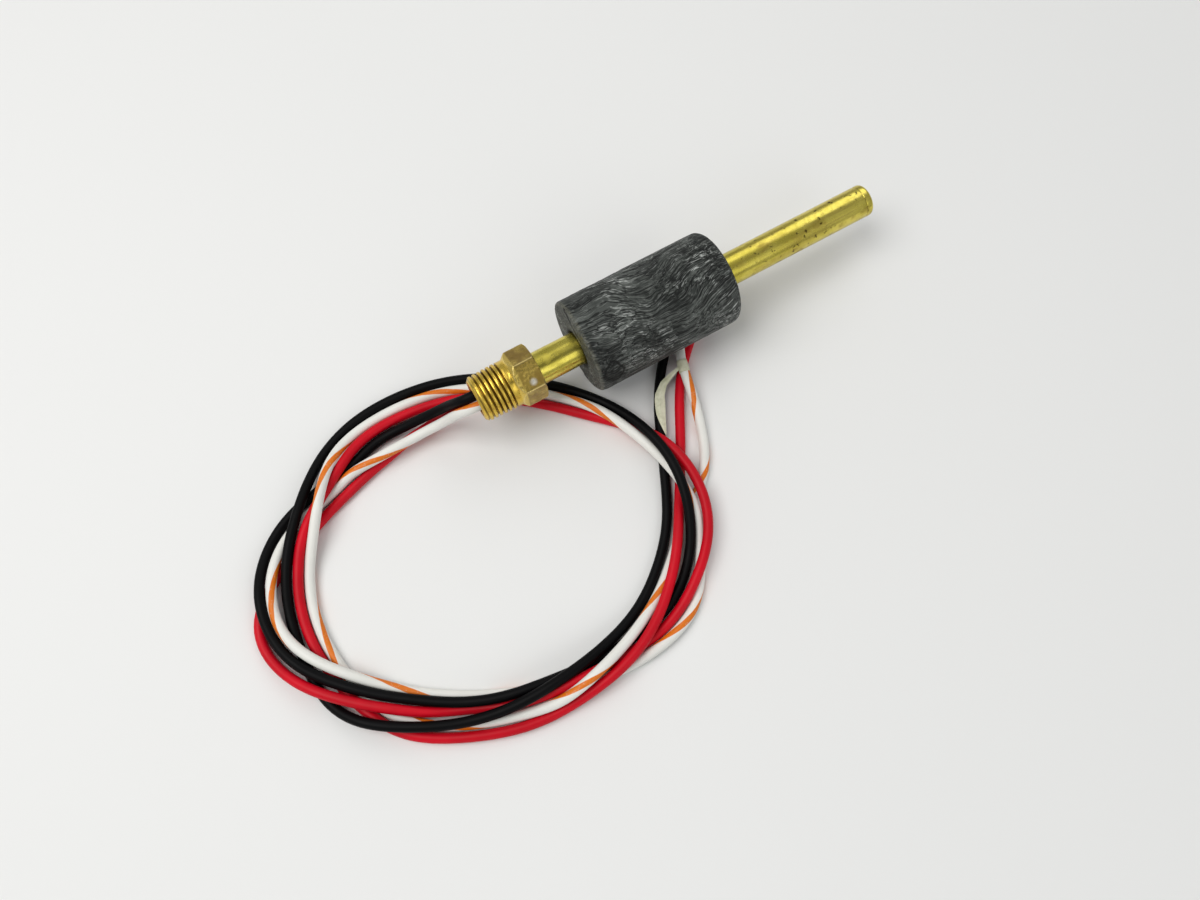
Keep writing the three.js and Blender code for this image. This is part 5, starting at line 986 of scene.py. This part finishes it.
def float_profile():
    pr = [(5.2, -5.2), (7.5, -5.2), (7.5, -13.8), (5.2, -13.8), (5.2, -20), (5.2, -30), (5.2, -31.9), (5.28, -32.25), (5.5, -32.44)]
    pr += [(r_, X0) for r_ in np.linspace(5.9, 12.9, 16)]
    for i in range(1, 6):
        a = math.radians(90 * i / 5)
        pr.append((13.1 + 0.9 * math.sin(a), X0 + 0.9 * (1 - math.cos(a))))
    pr += [(FR, x) for x in np.linspace(X0 + 1.3, X1 - 2.7, 96)]
    for i in range(1, 11):
        a = math.radians(90 * i / 10)
        pr.append((FR - 2.5 * (1 - math.cos(a)), X1 - 2.5 + 2.5 * math.sin(a)))
    pr += [(r_, X1) for r_ in np.linspace(11, 5.8, 12)]
    pr += [(5.4, X1 - 0.08), (5.22, X1 - 0.4), (5.2, X1 - 1.2), (5.2, 5), (5.2, 0)]
    return pr


def float_wobble(rr, xx, a):
    r2, x2 = rr.copy(), xx.copy()
    for i in range(len(a)):
        r_, x_ = rr[i], xx[i]
        if r_ > 5.6 and not (-14 < x_ < -5 and r_ < 8):
            f = min(1.0, (r_ - 5.6) / 1.0)
            d = 0.07 * nz3(x_, a[i], 0.11) + 0.05 * nz3(x_, a[i], 0.45, seed=5) + 0.035 * nz3(x_, a[i], 1.6, seed=9)
            if r_ > 13.0:
                r2[i] = min(r_ + d - 0.05, 14.0)
            else:
                x2[i] += (d - 0.04) * (1 if x_ < 0 else -1) * f + (0.05 if x_ < 0 else -0.05)
            # chipped rim at the fitting end, on the side near the table
            edge = max(0.0, 1 - abs(x_ - X0) / 2.2)
            if edge > 0 and r_ > 11.5:
                deg = math.degrees(a[i]) % 360
                near = math.exp(-(((deg - 212 + 180) % 360 - 180) / 26.0) ** 2) + 0.5 * math.exp(-(((deg - 265 + 180) % 360 - 180) / 14.0) ** 2)
                bite = near * (0.55 + 0.9 * max(0.0, nz3(x_, a[i], 0.9, seed=21))) + 0.25 * max(0.0, nz3(x_, a[i], 0.7, seed=33))
                r2[i] -= bite * edge * 0.85
                x2[i] += bite * 0.35 * edge
    return r2, x2


flt = turned("float_foam", float_profile(), NF, MAT_FLOAT, float_wobble)
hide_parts("float_body")
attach(flt, "float")

# ------------------------------------------------------------------ potting with a raised collar of resin round the leads
k = M("potting_resin", Roughness=0.35, IOR=1.5)
p = k.tc()
k.put("Base Color", k.mix(k.step(k.noise(p, 300, 4), 0.3, 0.7), (0.012, 0.011, 0.010), (0.035, 0.03, 0.026)))
k.put("Roughness", k.math("MULTIPLY_ADD", k.noise(p, 500, 3), 0.3, 0.25))
k.put("Normal", k.bump(k.noise(p, 420, 4), 0.4, 0.0002))
MAT_POT = k.m


def pot_wobble(rr, xx, a):
    x2 = xx.copy()
    for i in range(len(a)):
        if xx[i] < -60.5:
            y_, z_ = rr[i] * math.cos(a[i]), rr[i] * math.sin(a[i])
            near = min(math.hypot(y_ - 1.77 * math.cos(math.radians(q)), z_ - 1.77 * math.sin(math.radians(q))) for q in (50, 170, 290))
            x2[i] += 0.55 * max(0.0, 1 - abs(rr[i] - 4.2) / 0.8) * 0 - 0.5 * max(0.0, 1 - max(0.0, near - 1.45) / 0.7) + 0.25 * (1 - rr[i] / 4.2)
    return rr, x2


pp = [(0, -59.0), (4.2, -59.0), (4.4, -59.6), (4.42, -62.6), (4.40, -63.3), (4.1, -63.2)]
pp += [(r_, -63.05) for r_ in (3.8, 3.4, 3.0, 2.6, 2.2, 1.8, 1.4, 1.0, 0.6, 0.3)] + [(0, -63.0)]
pot = turned("potting_face", pp, 72, MAT_POT, pot_wobble)
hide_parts("potting_plug")
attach(pot, "probe")


# ------------------------------------------------------------------ materials for the carried nodes
def dress(node, material):
    o2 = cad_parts[node]
    o2 = bpy.data.objects[o2] if isinstance(o2, str) else o2
    if not o2.material_slots:
        o2.data.materials.append(material)
    for s2 in o2.material_slots:
        s2.material = material


def simple(name, a, b, rough, metallic=0.0, scale=400, bump=0.3, **kw):
    k = M(name, Metallic=metallic, Roughness=rough, **kw)
    p = k.tc()
    k.put("Base Color", k.mix(k.step(k.noise(p, scale, 4, 0.6), 0.3, 0.7), a, b))
    k.put("Roughness", k.math("MULTIPLY_ADD", k.noise(p, scale * 2, 3), 0.2, max(0.02, rough - 0.1)))
    k.put("Normal", k.bump(k.noise(p, scale * 1.5, 3), bump, 0.00005))
    return k.m


glass = simple("reed_glass", (0.80, 0.90, 0.86), (0.74, 0.86, 0.82), 0.08, Transmission_Weight=0.9, IOR=1.5)
reed = simple("reed_plating", (0.62, 0.63, 0.65), (0.48, 0.49, 0.50), 0.3, 1.0)
sleeve = simple("reed_heatshrink", (0.012, 0.012, 0.013), (0.022, 0.022, 0.024), 0.5)
solder = simple("solder_metal", (0.55, 0.56, 0.58), (0.40, 0.40, 0.42), 0.35, 1.0, scale=900)
magnet = simple("magnet_ferrite", (0.035, 0.035, 0.038), (0.06, 0.058, 0.055), 0.55, 0.2, scale=1200)
for node, mt in (
    ("reed_glass", glass), ("reed_blade_common", reed), ("reed_blade_open", reed), ("reed_blade_closed", reed),
    ("reed_sleeve", sleeve), ("solder_joint_common", solder), ("solder_joint_open", solder), ("solder_joint_closed", solder),
    ("float_magnet", magnet), ("inner_lead_black", MAT_BLACK), ("inner_lead_red", MAT_RED),
    ("inner_lead_white", simple("inner_white_insulation", (0.83, 0.82, 0.77), (0.76, 0.755, 0.71), 0.4)),
):
    dress(node, mt)

# ------------------------------------------------------------------ floor and light
floor_m = M("floor_paper", Roughness=0.75)
p = floor_m.tc()
floor_m.put("Base Color", floor_m.mix(floor_m.noise(p, 3.0, 3), (0.80, 0.80, 0.79), (0.83, 0.83, 0.82)))
floor_m.put("Roughness", floor_m.math("MULTIPLY_ADD", floor_m.noise(p, 40, 3), 0.1, 0.7))
fl = mesh_object("floor", [(-3, -3, FLOOR_Z), (3, -3, FLOOR_Z), (3, 3, FLOOR_Z), (-3, 3, FLOOR_Z)], [(0, 1, 2, 3)], None, False, floor_m.m)
fl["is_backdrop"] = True

world = bpy.data.worlds.new("studio")
scene.world = world
world.use_nodes = True
wb = world.node_tree.nodes["Background"]
wt = world.node_tree
geo = wt.nodes.new("ShaderNodeTexCoord")
dot = wt.nodes.new("ShaderNodeVectorMath")
dot.operation = "DOT_PRODUCT"
wt.links.new(geo.outputs["Generated"], dot.inputs[0])
dot.inputs[1].default_value = (-0.149, -0.259, 0.954)
rng = wt.nodes.new("ShaderNodeMapRange")
rng.interpolation_type = "SMOOTHSTEP"
rng.inputs["From Min"].default_value = 0.885
rng.inputs["From Max"].default_value = 0.985
wt.links.new(dot.outputs["Value"], rng.inputs["Value"])
mixer = wt.nodes.new("ShaderNodeMix")
mixer.data_type = "RGBA"
wt.links.new(rng.outputs["Result"], mixer.inputs[0])
mixer.inputs[6].default_value = (0.962, 0.98, 0.99, 1)
mixer.inputs[7].default_value = (0.14, 0.14, 0.12, 1)
wt.links.new(mixer.outputs[2], wb.inputs[0])
wb.inputs[1].default_value = 0.45


def area(name, loc, target, size, power, colour=(1, 1, 1), size_y=None):
    d = bpy.data.lights.new(name, "AREA")
    d.shape = "RECTANGLE"
    d.size = size
    d.size_y = size_y or size
    d.energy = power
    d.color = colour
    ob = bpy.data.objects.new(name, d)
    ob.location = loc
    ob.rotation_euler = (Vector(target) - Vector(loc)).to_track_quat("-Z", "Y").to_euler()
    scene.collection.objects.link(ob)
    return ob


area("key", (-0.45, 0.15, 0.85), (-0.03, -0.02, 0), 0.65, 5.6, (1.0, 0.99, 0.97))
area("fill", (0.55, 0.55, 0.75), (0, 0, 0), 0.7, 1.9, (1.0, 0.99, 0.98))
area("front", (0.1, -0.8, 0.6), (-0.02, 0, 0), 0.6, 1.2, (0.98, 0.99, 1.0))
scene.view_settings.view_transform = "Standard"
scene.view_settings.look = "None"
scene.view_settings.exposure = 0.0

def plain(b):
    return json.loads(json.dumps(b, default=lambda v: [float(q) for q in v]))
{"cad": plain(CAD_BOX), "visual": plain(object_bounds())}
